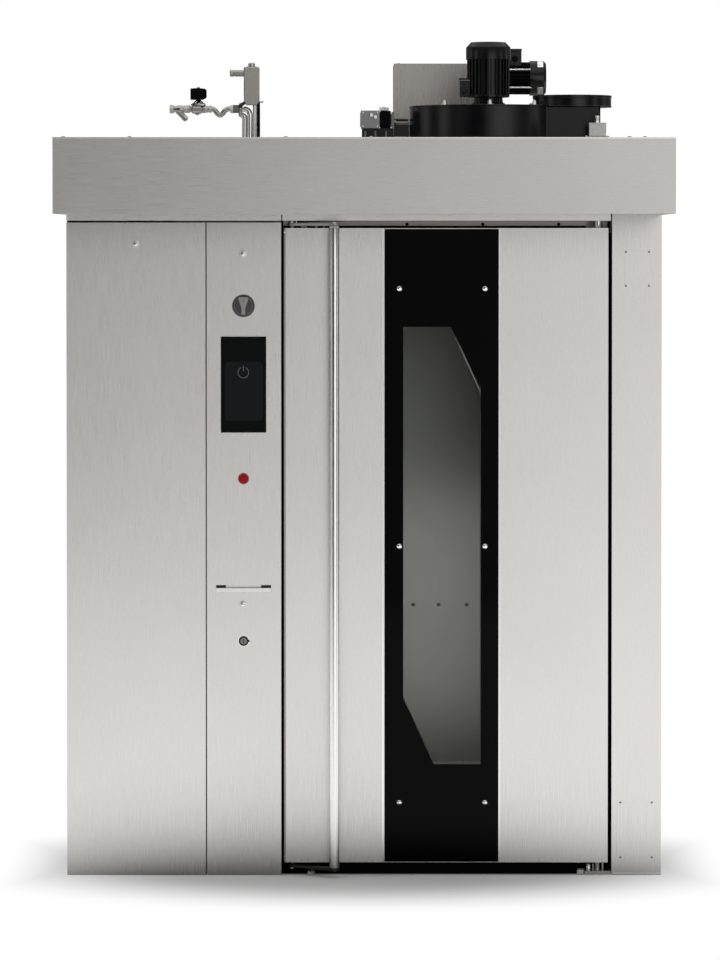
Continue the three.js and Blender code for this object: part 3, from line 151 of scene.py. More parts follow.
STUDIO_FILL = 0.26
STUDIO_INSIDE = 0.10  # what the chamber gets through its glass
STUDIO_LEFT, STUDIO_RIGHT = 0.0, 1.5
STUDIO_RAMP = (-0.147, 0.18)
STUDIO_FACING = (-0.93, -0.70)  # where what is straight ahead gives way to the flags at the sides
STUDIO_FLAGS = ((0.0, 0.30), (0.12, 0.28), (0.22, 0.12), (0.30, 0.90), (0.36, 0.90), (0.43, 0.10),
                (0.53, 0.10), (0.62, 0.65), (0.78, 0.15), (0.92, 0.15), (1.0, 0.24))  # from front to back
STUDIO_BAND = ((0.22, 0.34), 0.10)  # heights where a dark band begins and is full, and its level
STUDIO_CEILING = ((0.45, 0.66), 0.90)  # the same for the overhead white
FLOOR_LEVEL = -0.0005
FLOOR_COLOUR = 0.55
FLOOR_GLOW = 0.05
FLOOR_FRONT = -10.0  # the floor's near edge
FLOOR_BACK = 14.0
FLOOR_HALF = 14.0
SHADOW_OVAL = (0.75, 1.0, 0.0)  # the shadow's outline, narrowed along X
SHADOW_MIDDLE = (0.0, 0.45, 0.0)  # moves its middle towards the front
SHADOW_REACH = (0.47, 1.04)  # where the floor turns to plain white
SHADOW_SIDES = (0.80, 1.14)  # to the left and right, where it does the same
REFLECTED_SHADOW_MIDDLE = (0.0, 0.2, 0.0)  # the middle of the painted shadow on the floor that steel reflects
REFLECTED_SHADOW_REACH = (0.72, 1.85)  # where that painted shadow turns from near black at the object's foot to white
REFLECTED_SHADOW_LEVELS = (0.03, 1.28)  # its painted brightness at the foot and further out


def make_world():
    """White for the camera; a graded grey studio in front of the object for reflections."""
    world = bpy.data.worlds.new("studio")
    bpy.context.scene.world = world
    graph = Graph(world)
    graph.nodes.clear()
    path = graph.add("LightPath").outputs
    axes = graph.add("SeparateXYZ", {0: graph.add("TexCoord").outputs["Generated"]}).outputs
    ahead = graph.spread(axes["X"], *STUDIO_RAMP, STUDIO_LEFT, STUDIO_RIGHT)
    flags = graph.ramp(graph.spread(axes["Y"], -1.0, 1.0),
                       [(place, grey(level)) for place, level in STUDIO_FLAGS], "EASE")
    level = graph.mix(graph.fade(axes["Y"], STUDIO_FACING), ahead, flags)
    for ends, strength in (STUDIO_BAND, STUDIO_CEILING):
        level = graph.mix(graph.fade(axes["Z"], ends), level, strength)
    seen = graph.math("MAXIMUM", path["Is Camera Ray"], graph.direct_transmission(path))
    fill = graph.mix(path["Is Transmission Ray"], STUDIO_FILL, STUDIO_INSIDE)
    glossy = graph.mix(path["Is Glossy Ray"], fill, level)
    light = graph.add("Background", {"Color": WHITE, "Strength": graph.mix(seen, glossy, 1.0)})
    graph.add("OutputWorld", {"Surface": light.outputs[0]})


def make_floor():
    """A matt pale floor with the object's shadow, which runs out into plain white."""
    data = bpy.data.meshes.new("floor")
    mesh = bmesh.new()
    corners = [(-FLOOR_HALF, FLOOR_FRONT), (FLOOR_HALF, FLOOR_FRONT), (FLOOR_HALF, FLOOR_BACK),
               (-FLOOR_HALF, FLOOR_BACK)]
    mesh.faces.new([mesh.verts.new((x, y, FLOOR_LEVEL)) for x, y in corners])
    mesh.to_mesh(data)
    mesh.free()
    floor = bpy.data.objects.new("floor", data)
    bpy.context.scene.collection.objects.link(floor)
    material = bpy.data.materials.new("floor")
    graph = Graph(material)
    graph.nodes.clear()
    path = graph.add("LightPath").outputs
    place = graph.add("TexCoord").outputs["Object"]

    oval = graph.add("VectorMath", {0: place, 1: SHADOW_OVAL, 2: SHADOW_MIDDLE}, operation="MULTIPLY_ADD")
    aside = graph.math("ABSOLUTE", graph.add("SeparateXYZ", {0: place}).outputs["X"])
    plain = graph.math("MAXIMUM", graph.fade(graph.length(oval.outputs[0]), SHADOW_REACH),
                       graph.fade(aside, SHADOW_SIDES))
    through = graph.direct_transmission(path)
    seen = graph.math("ADD", path["Is Camera Ray"], through, clamp=True)
    matt = graph.add("BsdfDiffuse", {"Color": grey(FLOOR_COLOUR)}).outputs[0]
    glow = graph.emission(graph.math("MULTIPLY", seen, FLOOR_GLOW))
    near = graph.add("AddShader", {0: matt, 1: glow}).outputs[0]
    shown = graph.mix_shader(graph.math("MULTIPLY", plain, seen), near, graph.emission(1.0))

    # what steel and glass see of the floor: a painted shadow, near black at the object's foot, turning to
    # brighter than white further out
    offset = graph.add("VectorMath", {0: place, 1: REFLECTED_SHADOW_MIDDLE}, operation="ADD").outputs[0]
    level = graph.spread(graph.fade(graph.length(offset), REFLECTED_SHADOW_REACH), 0.0, 1.0, *REFLECTED_SHADOW_LEVELS)
    mirrored = graph.emission(graph.mix(path["Is Transmission Ray"], level, STUDIO_INSIDE))
    bounced = graph.math("ADD", path["Is Glossy Ray"], path["Is Transmission Ray"])
    reflected = graph.math("SUBTRACT", bounced, through, clamp=True)
    whole = graph.mix_shader(reflected, shown, mirrored)
    graph.add("OutputMaterial", {"Surface": whole})
    data.materials.append(material)


# place, what it faces, width and height in metres, watts, and whether metal mirrors it
LAMPS = {
    "overhead_lamp": ((0.0, -1.55, 5.0), (0.0, -1.55, 0.0), (7.0, 0.9), 225.0, False),
    "side_lamp": ((-4.2, -6.6, 5.4), (0.0, -0.6, 1.6), (2.0, 2.0), 80.0, False),
    "oven_lamp": ((0.25, -0.10, 0.68), (0.25, 0.47, 0.62), (0.5, 0.8), 0.48, True),
}


def make_lamps():
    for name, (place, target, size, power, mirrored) in LAMPS.items():
        data = bpy.data.lights.new(name, "AREA")
        data.shape = "RECTANGLE"
        data.size, data.size_y = size
        data.energy = power
        lamp = bpy.data.objects.new(name, data)
        lamp.location = place
        lamp.rotation_euler = (Vector(target) - Vector(place)).to_track_quat("-Z", "Y").to_euler()
        lamp.visible_glossy = mirrored
        bpy.context.scene.collection.objects.link(lamp)


# ------------------------------------------------------------------ materials

DARKEST, LIGHTEST = 0.3, 0.7  # a noise's levels where its tone and gloss are at their ends
CLOUD = 0.04  # how much darker metal is where its slow noise is low
METAL_BUMP = (0.02, 0.001)  # strength and distance
COAT_BUMP_DISTANCE = 0.0005
SLOW = 0.04  # scale of a coat's slow change against its relief's
LEAST_ROUGH = 0.02
GLASS_INDEX = 1.12
GLASS_SMEAR = 0.03


def start_material(name):
    material = bpy.data.materials.new(name)
    graph = Graph(material)
    return material, graph, graph.add("TexCoord").outputs["Object"]


def tones(graph, noise, colour, tint):
    """A change of tone by the share tint to either side of a colour."""
    ends = [(*[min(1.0, c * (1.0 + change)) for c in colour], 1.0) for change in (-tint, tint)]
    return graph.ramp(noise, [(DARKEST, ends[0]), (LIGHTEST, ends[1])])


def grain_material(name, colour, roughness, grain, tint=0.05, rough_change=0.06):
    """Rolled or brushed metal: fine streaks along one axis over a slow cloudy change of tone."""
    material, graph, place = start_material(name)
    stretch = graph.add("Mapping", {"Vector": place, "Scale": grain})
    streaks = graph.noise(stretch.outputs[0], 1.0, 4.0, 0.65)
    clouds = graph.noise(place, 2.2)
    shade = graph.spread(clouds, DARKEST, LIGHTEST, 1.0 - CLOUD, 1.0)
    mixed = graph.add("Mix", {"Factor": 1.0, "A": tones(graph, streaks, colour, tint), "B": shade},
                      data_type="RGBA", blend_type="MULTIPLY")
    ends = (roughness - rough_change, roughness + rough_change)
    graph.fill(graph.nodes["Principled BSDF"], {
        "Metallic": 1.0,
        "Base Color": mixed.outputs["Result"],
        "Roughness": graph.spread(streaks, DARKEST, LIGHTEST, *ends),
        "Normal": graph.bump(streaks, *METAL_BUMP),
    })
    return material


def coat_material(name, colour, roughness, scale=400.0, specular=0.5, tint=0.12, rough_change=0.06,
                  bump=0.08):
    """Paint, moulded plastic, rubber or cast metal: a fine even relief with a little change of tone."""
    material, graph, place = start_material(name)
    pores = graph.noise(place, scale, 3.0)
    slow = graph.noise(place, scale * SLOW, 3.0)
    ends = (max(LEAST_ROUGH, roughness - rough_change), min(1.0, roughness + rough_change))
    graph.fill(graph.nodes["Principled BSDF"], {
        "Specular IOR Level": specular,
        "Base Color": tones(graph, slow, colour, tint),
        "Roughness": graph.spread(slow, DARKEST, LIGHTEST, *ends),
        "Normal": graph.bump(pores, bump, COAT_BUMP_DISTANCE),
    })
    return material


def glass_material(name, tint):
    """Clear oven glass with a faint smear in its gloss."""
    material, graph, place = start_material(name)
    graph.fill(graph.nodes["Principled BSDF"], {
        "Base Color": (*tint, 1.0),
        "Transmission Weight": 1.0,
        "IOR": GLASS_INDEX,
        "Roughness": graph.spread(graph.noise(place, 6.0), 0.0, 1.0, 0.0, GLASS_SMEAR),
    })
    return material


STEEL = (0.70, 0.685, 0.665)
FINE = 700.0  # streaks across the grain, per metre
LONG = 9.0  # streaks along it
UPRIGHT, LEVEL, DEEP = (FINE, FINE, LONG), (LONG, FINE, FINE), (FINE, LONG, FINE)


def even(scale):
    return (scale, scale, scale)


# colour, roughness, grain, and where they differ from most: tint and change of roughness
METALS = {
    "steel_upright": (STEEL, 0.30, UPRIGHT),
    "steel_level": (STEEL, 0.30, LEVEL),
    "steel_deep": (STEEL, 0.30, DEEP),
    # a darker copy of the steel: painted shade over the whole hood front
    "steel_hood_painted_shade": ((0.60, 0.585, 0.565), 0.30, LEVEL),
    # a lighter copy of the steel: painted light that cancels the hood's shadow on the lintel, and a painted
    # highlight along the pillar's foot
    "steel_painted_light": ((0.88, 0.865, 0.84), 0.30, LEVEL),
    # a darker copy of the steel: painted shade standing in for the dark motors that the drive housing
    # reflects
    "steel_drive_painted_shade": ((0.42, 0.395, 0.37), 0.24, UPRIGHT),
    "steel_frame": ((0.36, 0.32, 0.29), 0.4, LEVEL),
    # a darker copy of the steel: painted shade on the handle's upper arm
    "upper_arm_painted_shade": ((0.40, 0.37, 0.345), 0.34, LEVEL),
    # near black in place of steel: painted shadow on the handle's lower arm, which sits in the shade below
    # the door
    "lower_arm_painted_shade": ((0.075, 0.068, 0.062), 0.38, LEVEL),
    "steel_inside": ((0.52, 0.50, 0.48), 0.42, (300.0, 300.0, 12.0)),
    "steel_vent": ((0.45, 0.425, 0.40), 0.34, (400.0, 400.0, 30.0)),
    "bright_steel": ((0.80, 0.79, 0.77), 0.22, (500.0, 500.0, 8.0)),
    "dark_steel": ((0.20, 0.20, 0.20), 0.36, even(300.0)),
    "grey_metal": ((0.30, 0.30, 0.30), 0.38, even(220.0)),
    "chrome": ((0.86, 0.86, 0.85), 0.10, even(60.0), 0.05, 0.03),
    "zinc": ((0.50, 0.50, 0.485), 0.42, even(90.0), 0.12),
    "brass": ((0.72, 0.52, 0.24), 0.26, even(160.0), 0.1),
    "plated": ((0.76, 0.75, 0.73), 0.12, even(140.0), 0.08, 0.04),
    "plated_dull": ((0.50, 0.49, 0.475), 0.09, even(140.0), 0.08, 0.03),
}

# colour, roughness, scale of the relief, specular level, then tint, change of roughness and relief
COATS = {
    "black_paint": ((0.005, 0.005, 0.006), 0.20, 400.0, 0.27),
    "black_plastic": ((0.002, 0.002, 0.0022), 0.5, 400.0, 0.05),
    # near black sheets of painted shade for gaps, slots and the space under the door
    "gap_seal": ((0.003, 0.003, 0.003), 0.8, 400.0, 0.04),
    "black_glass": ((0.001, 0.001, 0.0011), 0.06, 6.0, 0.045, 0.12, 0.02, 0.0),
    "screen": ((0.0035, 0.004, 0.0045), 0.16, 8.0, 0.08, 0.12, 0.03, 0.0),
    "screen_field": ((0.015, 0.016, 0.018), 0.22, 8.0, 0.08, 0.12, 0.03, 0.0),
    "sign": ((0.20, 0.21, 0.21), 0.4, 300.0),
    "grey_plastic": ((0.09, 0.09, 0.092), 0.5, 900.0),
    "light_plastic": ((0.55, 0.55, 0.54), 0.5, 900.0),
    "red_plastic": ((0.50, 0.006, 0.010), 0.35, 700.0, 0.2),
    "rubber": ((0.02, 0.02, 0.02), 0.7, 500.0, 0.3),
    "mineral_wool": ((0.42, 0.36, 0.22), 0.95, 180.0, 0.1, 0.3, 0.06, 0.9),
    "cast_iron": ((0.030, 0.030, 0.032), 0.5, 260.0, 0.5, 0.12, 0.06, 0.25),
}

M = {name: grain_material(name, *values) for name, values in METALS.items()}
M.update({name: coat_material(name, *values) for name, values in COATS.items()})
M["clear_glass"] = glass_material("clear_glass", (0.93, 0.95, 0.94))

CAD_MATERIALS = {
    "steel_upright": ("service_panel right_pillar left_side_panel right_side_panel rear_panel "
                      "control_panel door_left_skin door_right_skin"),
    # the drive housing in painted shade
    "steel_drive_painted_shade": "drive_housing",
    # the hood front in painted shade
    "steel_hood_painted_shade": "hood_front",
    "steel_level": "base_tray",
    # the lintel in painted light
    "steel_painted_light": "lintel_panel",
    # the upper arm in painted shade
    "upper_arm_painted_shade": "handle_arm_top",
    "steel_deep": "hood_left_cheek hood_right_cheek hood_roof roof_panel",
    "steel_inside": ("chamber_floor air_wall chamber_right_wall chamber_rear_wall chamber_ceiling "
                     "duct_wall steam_cascade door_liner circulation_wheel extractor_impeller "
                     "rack_carrier rack_shaft bottom_hinge top_hinge"),
    "steel_frame": "door_frame",
    "bright_steel": "handle_bar",
    "dark_steel": "drive_chain drive_sprocket heating_elements",
    # the lower arm in painted shadow
    "lower_arm_painted_shade": "handle_arm_bottom",
    "cast_iron": "roof_bearing circulation_motor",
    "light_plastic": "electrical_box",
    "black_paint": "extractor_scroll extractor_motor rack_gearmotor",
    "zinc": "water_pipe water_strainer vent_box roof_junction_box damper_actuator",
    "brass": "solenoid_valve",
    "grey_plastic": "solenoid_coil main_switch_knob damper_knob cam_lock",
    "screen": "touch_screen",
    "red_plastic": "stop_button",
    "rubber": "door_gasket",
    "mineral_wool": "insulation_jacket door_core",
    "black_glass": "door_glass",
    "clear_glass": "inner_door_glass",
}


def dress_cad():
    for material, names in CAD_MATERIALS.items():
        for name in names.split():
            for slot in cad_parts[name].material_slots:
                slot.material = M[material]


# ------------------------------------------------------------------ shapes, in millimetres

FRONT = -700  # the plane of the cabinet's front
TURN = 2 * math.pi
BEVEL_ANGLE = 40  # degrees from which an edge is rounded
HEAD_RIM = 0.25  # the straight share of a round head's height
SHAPES = []  # every shape, in the order of its making


def spot(axis, u, v, along):
    """A point from its place across an axis and its place along it."""
    return {"X": (along, u, v), "Y": (u, along, v), "Z": (u, v, along)}[axis]


def polar(u, v, radius, angle):
    return u + radius * math.cos(angle), v + radius * math.sin(angle)


def circle(u, v, radius, count=32):
    return [polar(u, v, radius, TURN * i / count) for i in range(count)]


def rounded(u_low, u_high, v_low, v_high, radius, steps=6):
    """A rectangle with rounded corners."""
    points = []
    corners = [(u_high, v_high), (u_low, v_high), (u_low, v_low), (u_high, v_low)]
    for quarter, (u, v) in enumerate(corners):
        centre_u = u - radius if u == u_high else u + radius
        centre_v = v - radius if v == v_high else v + radius
        for i in range(steps + 1):
            points.append(polar(centre_u, centre_v, radius, math.pi * (0.5 * quarter + 0.5 * i / steps)))
    return points


def smooth_route(points):
    """A Catmull-Rom curve through points."""
    route, steps = [], 6
    ends = [Vector(p) for p in (points[0], *points, points[-1])]
    for a, b, c, d in zip(ends, ends[1:], ends[2:], ends[3:]):
        for i in range(steps):
            t = i / steps
            part = 2.0 * b + (c - a) * t + (2.0 * a - 5.0 * b + 4.0 * c - d) * t * t
            route.append((part + (3.0 * b - a - 3.0 * c + d) * t * t * t) * 0.5)
    return [*route, ends[-1]]


def bridge(one, two):
    """The faces between two rows of corners, either of which may be a single tip."""
    for i in range(max(len(one), len(two))):
        j = (i + 1) % max(len(one), len(two))
        if len(one) == 1:
            yield one[0], two[j], two[i]
        elif len(two) == 1:
            yield one[i], one[j], two[0]
        else:
            yield one[i], one[j], two[j], two[i]


class Shape:
    """A named piece in the making, which rides on a body."""

    def __init__(self, name, finishes, slot, replaces=None, body="cabinet", bevel=0, angle=38, segments=2):
        self.name, self.finishes, self.slot = name, finishes.split(), slot
        self.replaces, self.body = replaces, body
        self.bevel, self.angle, self.segments = bevel, angle, segments
        self.mesh = bmesh.new()
        SHAPES.append(self)

    def row(self, points):
        return [self.mesh.verts.new(point) for point in points]

    def faces(self, corners, finish=0):
        for face in corners:
            self.mesh.faces.new(face).material_index = finish

    def prism(self, outline, low, high, axis="Z", finish=0):
        near = self.row(spot(axis, u, v, low) for u, v in outline)
        far = self.row(spot(axis, u, v, high) for u, v in outline)
        self.faces([near[::-1], far, *bridge(near, far)], finish)

    def box(self, x, y, z, finish=0):
        outline = [(x[0], y[0]), (x[1], y[0]), (x[1], y[1]), (x[0], y[1])]
        self.prism(outline, *z, "Z", finish)

    def lathe(self, profile, centre, axis="Z", count=40, finish=0, tip=None):
        """Turns a profile of (radius, place along the axis) into a solid, flat at its ends or with a tip."""
        end = profile[-1][1] if tip is None else tip
        rows = [self.row([spot(axis, *centre, profile[0][1])])]
        for radius, along in profile:
            rows.append(self.row(spot(axis, u, v, along) for u, v in circle(*centre, radius, count)))
        rows.append(self.row([spot(axis, *centre, end)]))
        for one, two in zip(rows, rows[1:]):
            self.faces(bridge(one, two), finish)

    def hoop(self, profile, centre, axis="Z", count=40, finish=0):
        """Turns a closed profile that stays off the axis."""
        rows = []
        for radius, along in profile:
            rows.append(self.row(spot(axis, u, v, along) for u, v in circle(*centre, radius, count)))
        for one, two in zip(rows, [*rows[1:], rows[0]]):
            self.faces(bridge(one, two), finish)

    def ring(self, centre, outer, inner, low, high, axis="Z", finish=0, count=40):
        self.hoop([(inner, low), (outer, low), (outer, high), (inner, high)], centre, axis, count, finish)

    def dome(self, centre, radius, low, high, axis="Z", finish=0, count=28):
        """A low round head, such as a screw's or a stud's."""
        edge = low + (high - low) * HEAD_RIM
        profile = [(radius, low), (radius, edge)]
        for i in range(1, 6):
            angle = 0.5 * math.pi * i / 6
            profile.append((radius * math.cos(angle), edge + (high - edge) * math.sin(angle)))
        self.lathe(profile, centre, axis, count, finish, tip=high)

    def tube(self, points, radius, count=20, finish=0, closed=False):
        """Sweeps a round section along a route."""
        route = [Vector(p) for p in points]
        if closed:
            ways = [(route[(i + 1) % len(route)] - route[i - 1]).normalized() for i in range(len(route))]
        else:
            ends = [route[0], *route, route[-1]]
            ways = [(c - a).normalized() for a, c in zip(ends, ends[2:])]
        side = ways[0].orthogonal().normalized()
        rows = []
        for place, way in zip(route, ways):
            side = (side - way * side.dot(way)).normalized()
            up = way.cross(side)
            turns = [TURN * i / count for i in range(count)]
            rows.append(self.row(place + (side * math.cos(a) + up * math.sin(a)) * radius for a in turns))
        pairs = list(zip(rows, rows[1:]))
        if closed:
            pairs.append((rows[-1], rows[0]))
        for one, two in pairs:
            self.faces(bridge(one, two), finish)
        if not closed:
            self.faces((rows[0], rows[-1]), finish)

    def make_object(self):
        mesh = self.mesh
        bmesh.ops.recalc_face_normals(mesh, faces=mesh.faces[:])
        bmesh.ops.scale(mesh, vec=(MM, MM, MM), verts=mesh.verts[:])
        data = bpy.data.meshes.new(self.name)
        mesh.to_mesh(data)
        mesh.free()
        for finish in self.finishes:
            data.materials.append(M[finish])
        for face in data.polygons:
            face.use_smooth = True
        data.set_sharp_from_angle(angle=math.radians(self.angle))
        made = bpy.data.objects.new(self.name, data)
        bpy.context.scene.collection.objects.link(made)
        if self.bevel:
            rounding = made.modifiers.new("edges", "BEVEL")
            rounding.width = self.bevel * MM
            rounding.segments = self.segments
            rounding.limit_method = "ANGLE"
            rounding.angle_limit = math.radians(BEVEL_ANGLE)
            rounding.harden_normals = True
        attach(made, self.body)
        if self.replaces:
            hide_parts(self.replaces)


def span(node):
    """A CAD node's box in millimetres: its low and high corners."""
    box_low, box_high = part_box(node)
    return box_low / MM, box_high / MM


def centre(node, axes="xz"):
    """The middle of a CAD node's box along the named axes."""
    low, high = span(node)
    return [(getattr(low, axis) + getattr(high, axis)) / 2 for axis in axes]


def grid(us, vs):
    return [(u, v) for u in us for v in vs]


# ------------------------------------------------------------------ door

GLASS_EDGE = 1  # polished edge of the door's glass
GLASS_REBATE = 0.7
WINDOW_CUTS = (93.4, 184.2, 94, 203.9)  # upper right corner's width and height, lower left corner's
STUDS = grid((108.7, 372.1), (1808.3, 1015.2, 223.6))
HANDLE_PIVOT = (-222, -670)


def window_outline(grow=0):
    """The six-sided window, in X and Z, from its upper left corner."""
    low, high = span("inner_door_glass")
    left, right = low.x + GLASS_REBATE - grow, high.x - GLASS_REBATE + grow
    bottom, top = low.z + GLASS_REBATE - grow, high.z - GLASS_REBATE + grow
    cut_x, cut_z, low_cut_x, low_cut_z = WINDOW_CUTS
    return [(left, top), (right - cut_x, top), (right, top - cut_z), (right, bottom),
            (left + low_cut_x, bottom), (left, bottom + low_cut_z)]


def make_door_glass():
    """A black printed border round a clear window, in the CAD glass's place, and three pairs of studs."""
    low, high = span("door_glass")
    outer = [(low.x, high.z), (high.x, high.z), (high.x, low.z), (low.x, low.z)]
    shape = Shape("door_glass_border", "black_glass", "black_glass", "door_glass", "door", bevel=GLASS_EDGE)
    sheets = []
    for depth in (low.y, high.y):
        rim = shape.row((x, depth, z) for x, z in outer)
        hole = shape.row((x, depth, z) for x, z in window_outline())
        sheets.append((rim, hole))
        shape.faces([(rim[0], rim[1], hole[2], hole[1], hole[0]), (rim[1], rim[2], hole[3], hole[2]),
                     (rim[2], rim[3], hole[5], hole[4], hole[3]), (rim[3], rim[0], hole[0], hole[5])])
    for near, far in zip(*sheets):
        shape.faces(bridge(near, far))

    shape = Shape("door_glass_pane", "clear_glass", "clear_glass", body="door", bevel=0.3)
    shape.prism(window_outline(-0.2), low.y + 0.6, high.y - 0.6, "Y")

    shape = Shape("door_glass_studs", "chrome rubber", "chrome", body="door")
    for place in STUDS:
        shape.lathe([(10, low.y - 1.5), (10, low.y - 0.1)], place, "Y", 28, 1)
        shape.dome(place, 8.2, low.y - 1.4, low.y - 6.5, "Y")


def make_glass_trims():
    """The thin folded edges that hold the glass at its two sides."""
    low, high = span("door_glass")
    shape = Shape("door_glass_trims", "bright_steel", "brushed_steel", body="door", bevel=0.35)
    for x in ((low.x - 8, low.x - 0.8), (high.x + 0.6, high.x + 5.2)):
        shape.box(x, (low.y - 1.1, low.y - 0.1), (low.z - 3, high.z + 3))


def make_gasket():
    """Two round beads on a thin web."""
    low, high = span("door_gasket")
    middle, = centre("door_gasket", "y")
    shape = Shape("door_gasket_bulb", "rubber", "rubber", "door_gasket", "door")
    for inset, corner, depth, radius, count in ((6, 26, middle, 5.4, 12), (16, 26, middle, 5.2, 12),
                                                (3, 28, middle - 3.5, 1.4, 8)):
        outline = rounded(low.x + inset, high.x - inset, low.z + inset, high.z - inset, corner, 8)
        shape.tube([(x, depth, z) for x, z in outline], radius, count, closed=True)


def make_handle():
    """The round bar with its domed top, and the arms' screws."""
    low, high = span("handle_bar")
    x, y = centre("handle_bar", "xy")
    bar, corner = (high.x - low.x) / 2 - 1.5, 6
    top = high.z - corner
    profile = [(bar - 0.8, low.z), (bar, low.z + 0.8), (bar, top)]
    profile += [polar(bar - corner, top, corner, 0.5 * math.pi * i / 7) for i in range(1, 7)]
    shape = Shape("handle_grip", "bright_steel", "brushed_steel", "handle_bar", "handle")
    shape.lathe(profile, (x, y), "Z", 56, tip=high.z)

    shape = Shape("handle_screws", "chrome zinc", "chrome", body="handle", bevel=0.5)
    for face, away in ((span("handle_arm_top")[1].z, 1), (span("handle_arm_bottom")[0].z, -1)):
        shape.prism(circle(*HANDLE_PIVOT, 9, 6), face, face + 6 * away, "Z", 1)
        shape.dome((x, y), 7, face, face + 3.5 * away)


# ------------------------------------------------------------------ control column

POINTER = [(-13, 27), (13, 27), (15.5, 22), (9, 3), (6, -6), (5.6, -26), (-5.6, -26), (-6, -6), (-9, 3),
           (-15.5, 22)]
POWER_SIGN = (-371.1, 1550.3, 16.5)  # X, Z and radius
LOCK = (-370.7, 723)
LOCK_RADIUS = 15.4
QUARTER_TURNS = {"cabinet": [(-702, 1946)], "control_door": [(-371.7, 1915.6), (-371.7, 835.9)]}
PULL_X = (-455.8, -286.4)
PULL_TOP = 886.5


def make_knob():
    low, high = span("main_switch_knob")
    x, z = place = centre("main_switch_knob")
    radius = (high.x - low.x) / 2
    face = FRONT
    shape = Shape("main_switch", "grey_plastic dark_steel light_plastic", "grey_plastic", "main_switch_knob",
                  "main_switch", bevel=1.2, segments=3)
    disc = [(radius, face - 0.2), (radius, face - 3), (radius - 2, face - 4.4), (radius - 5, face - 4.8)]
    shape.lathe(disc, place, "Y", 56)
    shape.ring(place, radius - 6.5, radius - 8, face - 5.4, face - 4.6, "Y", 1, 56)
    shape.prism([(x + u, z + w) for u, w in POINTER], face - 4.6, low.y, "Y", 2)
    shape.box((x - 1, x + 1), (low.y, low.y + 0.6), (z + 10, z + 25), 1)


def make_screen():
    """The touch screen, its bright field, two edge strips and a generic power sign."""
    low, high = span("touch_screen")
    shape = Shape("screen_body", "screen", "screen", "touch_screen", "control_door", bevel=0.6)
    shape.prism(rounded(low.x, high.x, low.z, high.z, 3), low.y, FRONT + 12, "Y")
    shape.prism(rounded(low.x + 12, high.x - 12, low.z + 12, high.z - 12, 3), FRONT + 10, high.y, "Y")

    shape = Shape("screen_field", "screen_field", "screen", body="control_door", bevel=0.2)
    field = rounded(low.x + 13, high.x - 10.5, low.z + 36.6, low.z + 218, 9, 8)
    shape.prism(field, low.y - 0.5, low.y + 0.4, "Y")

    shape = Shape("screen_edges", "bright_steel", "brushed_steel", body="control_door", bevel=0.3)
    for z in ((low.z - 3.2, low.z - 0.4), (high.z + 0.4, high.z + 3.2)):
        shape.box((low.x, high.x), (FRONT - 1.6, FRONT - 0.1), z)

    shape = Shape("screen_power_sign", "sign", "screen", body="control_door")
    x, z, radius = POWER_SIGN
    gap, depth = 0.45, low.y - 0.6
    arc = [polar(x, z, radius, 0.5 * math.pi + gap + (TURN - 2 * gap) * i / 32) for i in range(33)]
    shape.tube([(u, depth, v) for u, v in arc], 1.3, 8)
    shape.tube([(x, depth, z + 4), (x, depth, z + 20)], 1.3, 8)


def make_stop_button():
    low, high = span("stop_button")
    place = centre("stop_button")
    radius = (high.x - low.x) / 2
    cap = [(radius - 4, high.y), (radius - 4, low.y + 8), (radius, low.y + 8), (radius, low.y + 3),
           (radius - 1.2, low.y + 1.2), (radius - 4, low.y + 0.3), (radius * 0.4, low.y)]
    shape = Shape("stop_button_cap", "red_plastic", "red_plastic", "stop_button", "stop_plunger")
    shape.lathe(cap, place, "Y", 48)
    shape = Shape("stop_button_ring", "dark_steel", "dark_steel", body="control_door", bevel=0.4)
    shape.ring(place, radius + 2.2, radius + 0.4, FRONT - 1.8, FRONT - 0.1, "Y", 0, 48)


def make_lock():
    """The cam lock's slotted barrel with its pointer and cam, and the collar round it."""
    face = span("cam_lock")[0].y
    (x, z), radius = LOCK, LOCK_RADIUS
    shape = Shape("lock_barrel", "black_paint dark_steel zinc", "black_paint", "cam_lock", "panel_lock",
                  bevel=0.4)
    shape.ring(LOCK, radius, radius - 4.5, face, FRONT - 0.3, "Y")
    shape.lathe([(radius - 4.8, FRONT - 0.3), (radius - 4.8, face + 0.9)], LOCK, "Y", 32, 1)
    shape.box((x - 1, x + 1), (face + 0.3, face + 1), (z - 6.5, z + 6.5))
    shape.prism([(x + radius - 4, z - 6), (x + 20.4, z), (x + radius - 4, z + 6)], face, FRONT - 0.6, "Y")
    shape.lathe([(radius - 5.2, FRONT - 0.1), (radius - 5.2, FRONT + 13.5)], LOCK, "Y", 24)
    shape.box((x - 8, x + 8), (FRONT + 14, FRONT + 17), (z - 8, z + 34), 2)
    shape = Shape("lock_collar", "chrome", "chrome", body="control_door")
    shape.ring(LOCK, radius + 1.8, radius + 0.2, FRONT - 0.9, FRONT - 0.1, "Y")


def make_quarter_turns():
    face = FRONT
    ring = [(11.5, face - 0.1), (11, face - 1.3), (9, face - 1.5), (7.6, face - 0.4), (7.6, face - 0.1)]
    for body, places in QUARTER_TURNS.items():
        shape = Shape("quarter_turns_" + body, "steel_level bright_steel dark_steel", "brushed_steel",
                      body=body)
        for x, z in places:
            shape.hoop(ring, (x, z), "Y", 36)
            shape.dome((x, z), 7, face - 0.1, face - 1.1, "Y", 1)
            for side in (-1, 1):
                shape.box((x + side * 2.2, x + side * 5.4), (face - 1.25, face - 0.9), (z - 1.1, z + 1.1), 2)


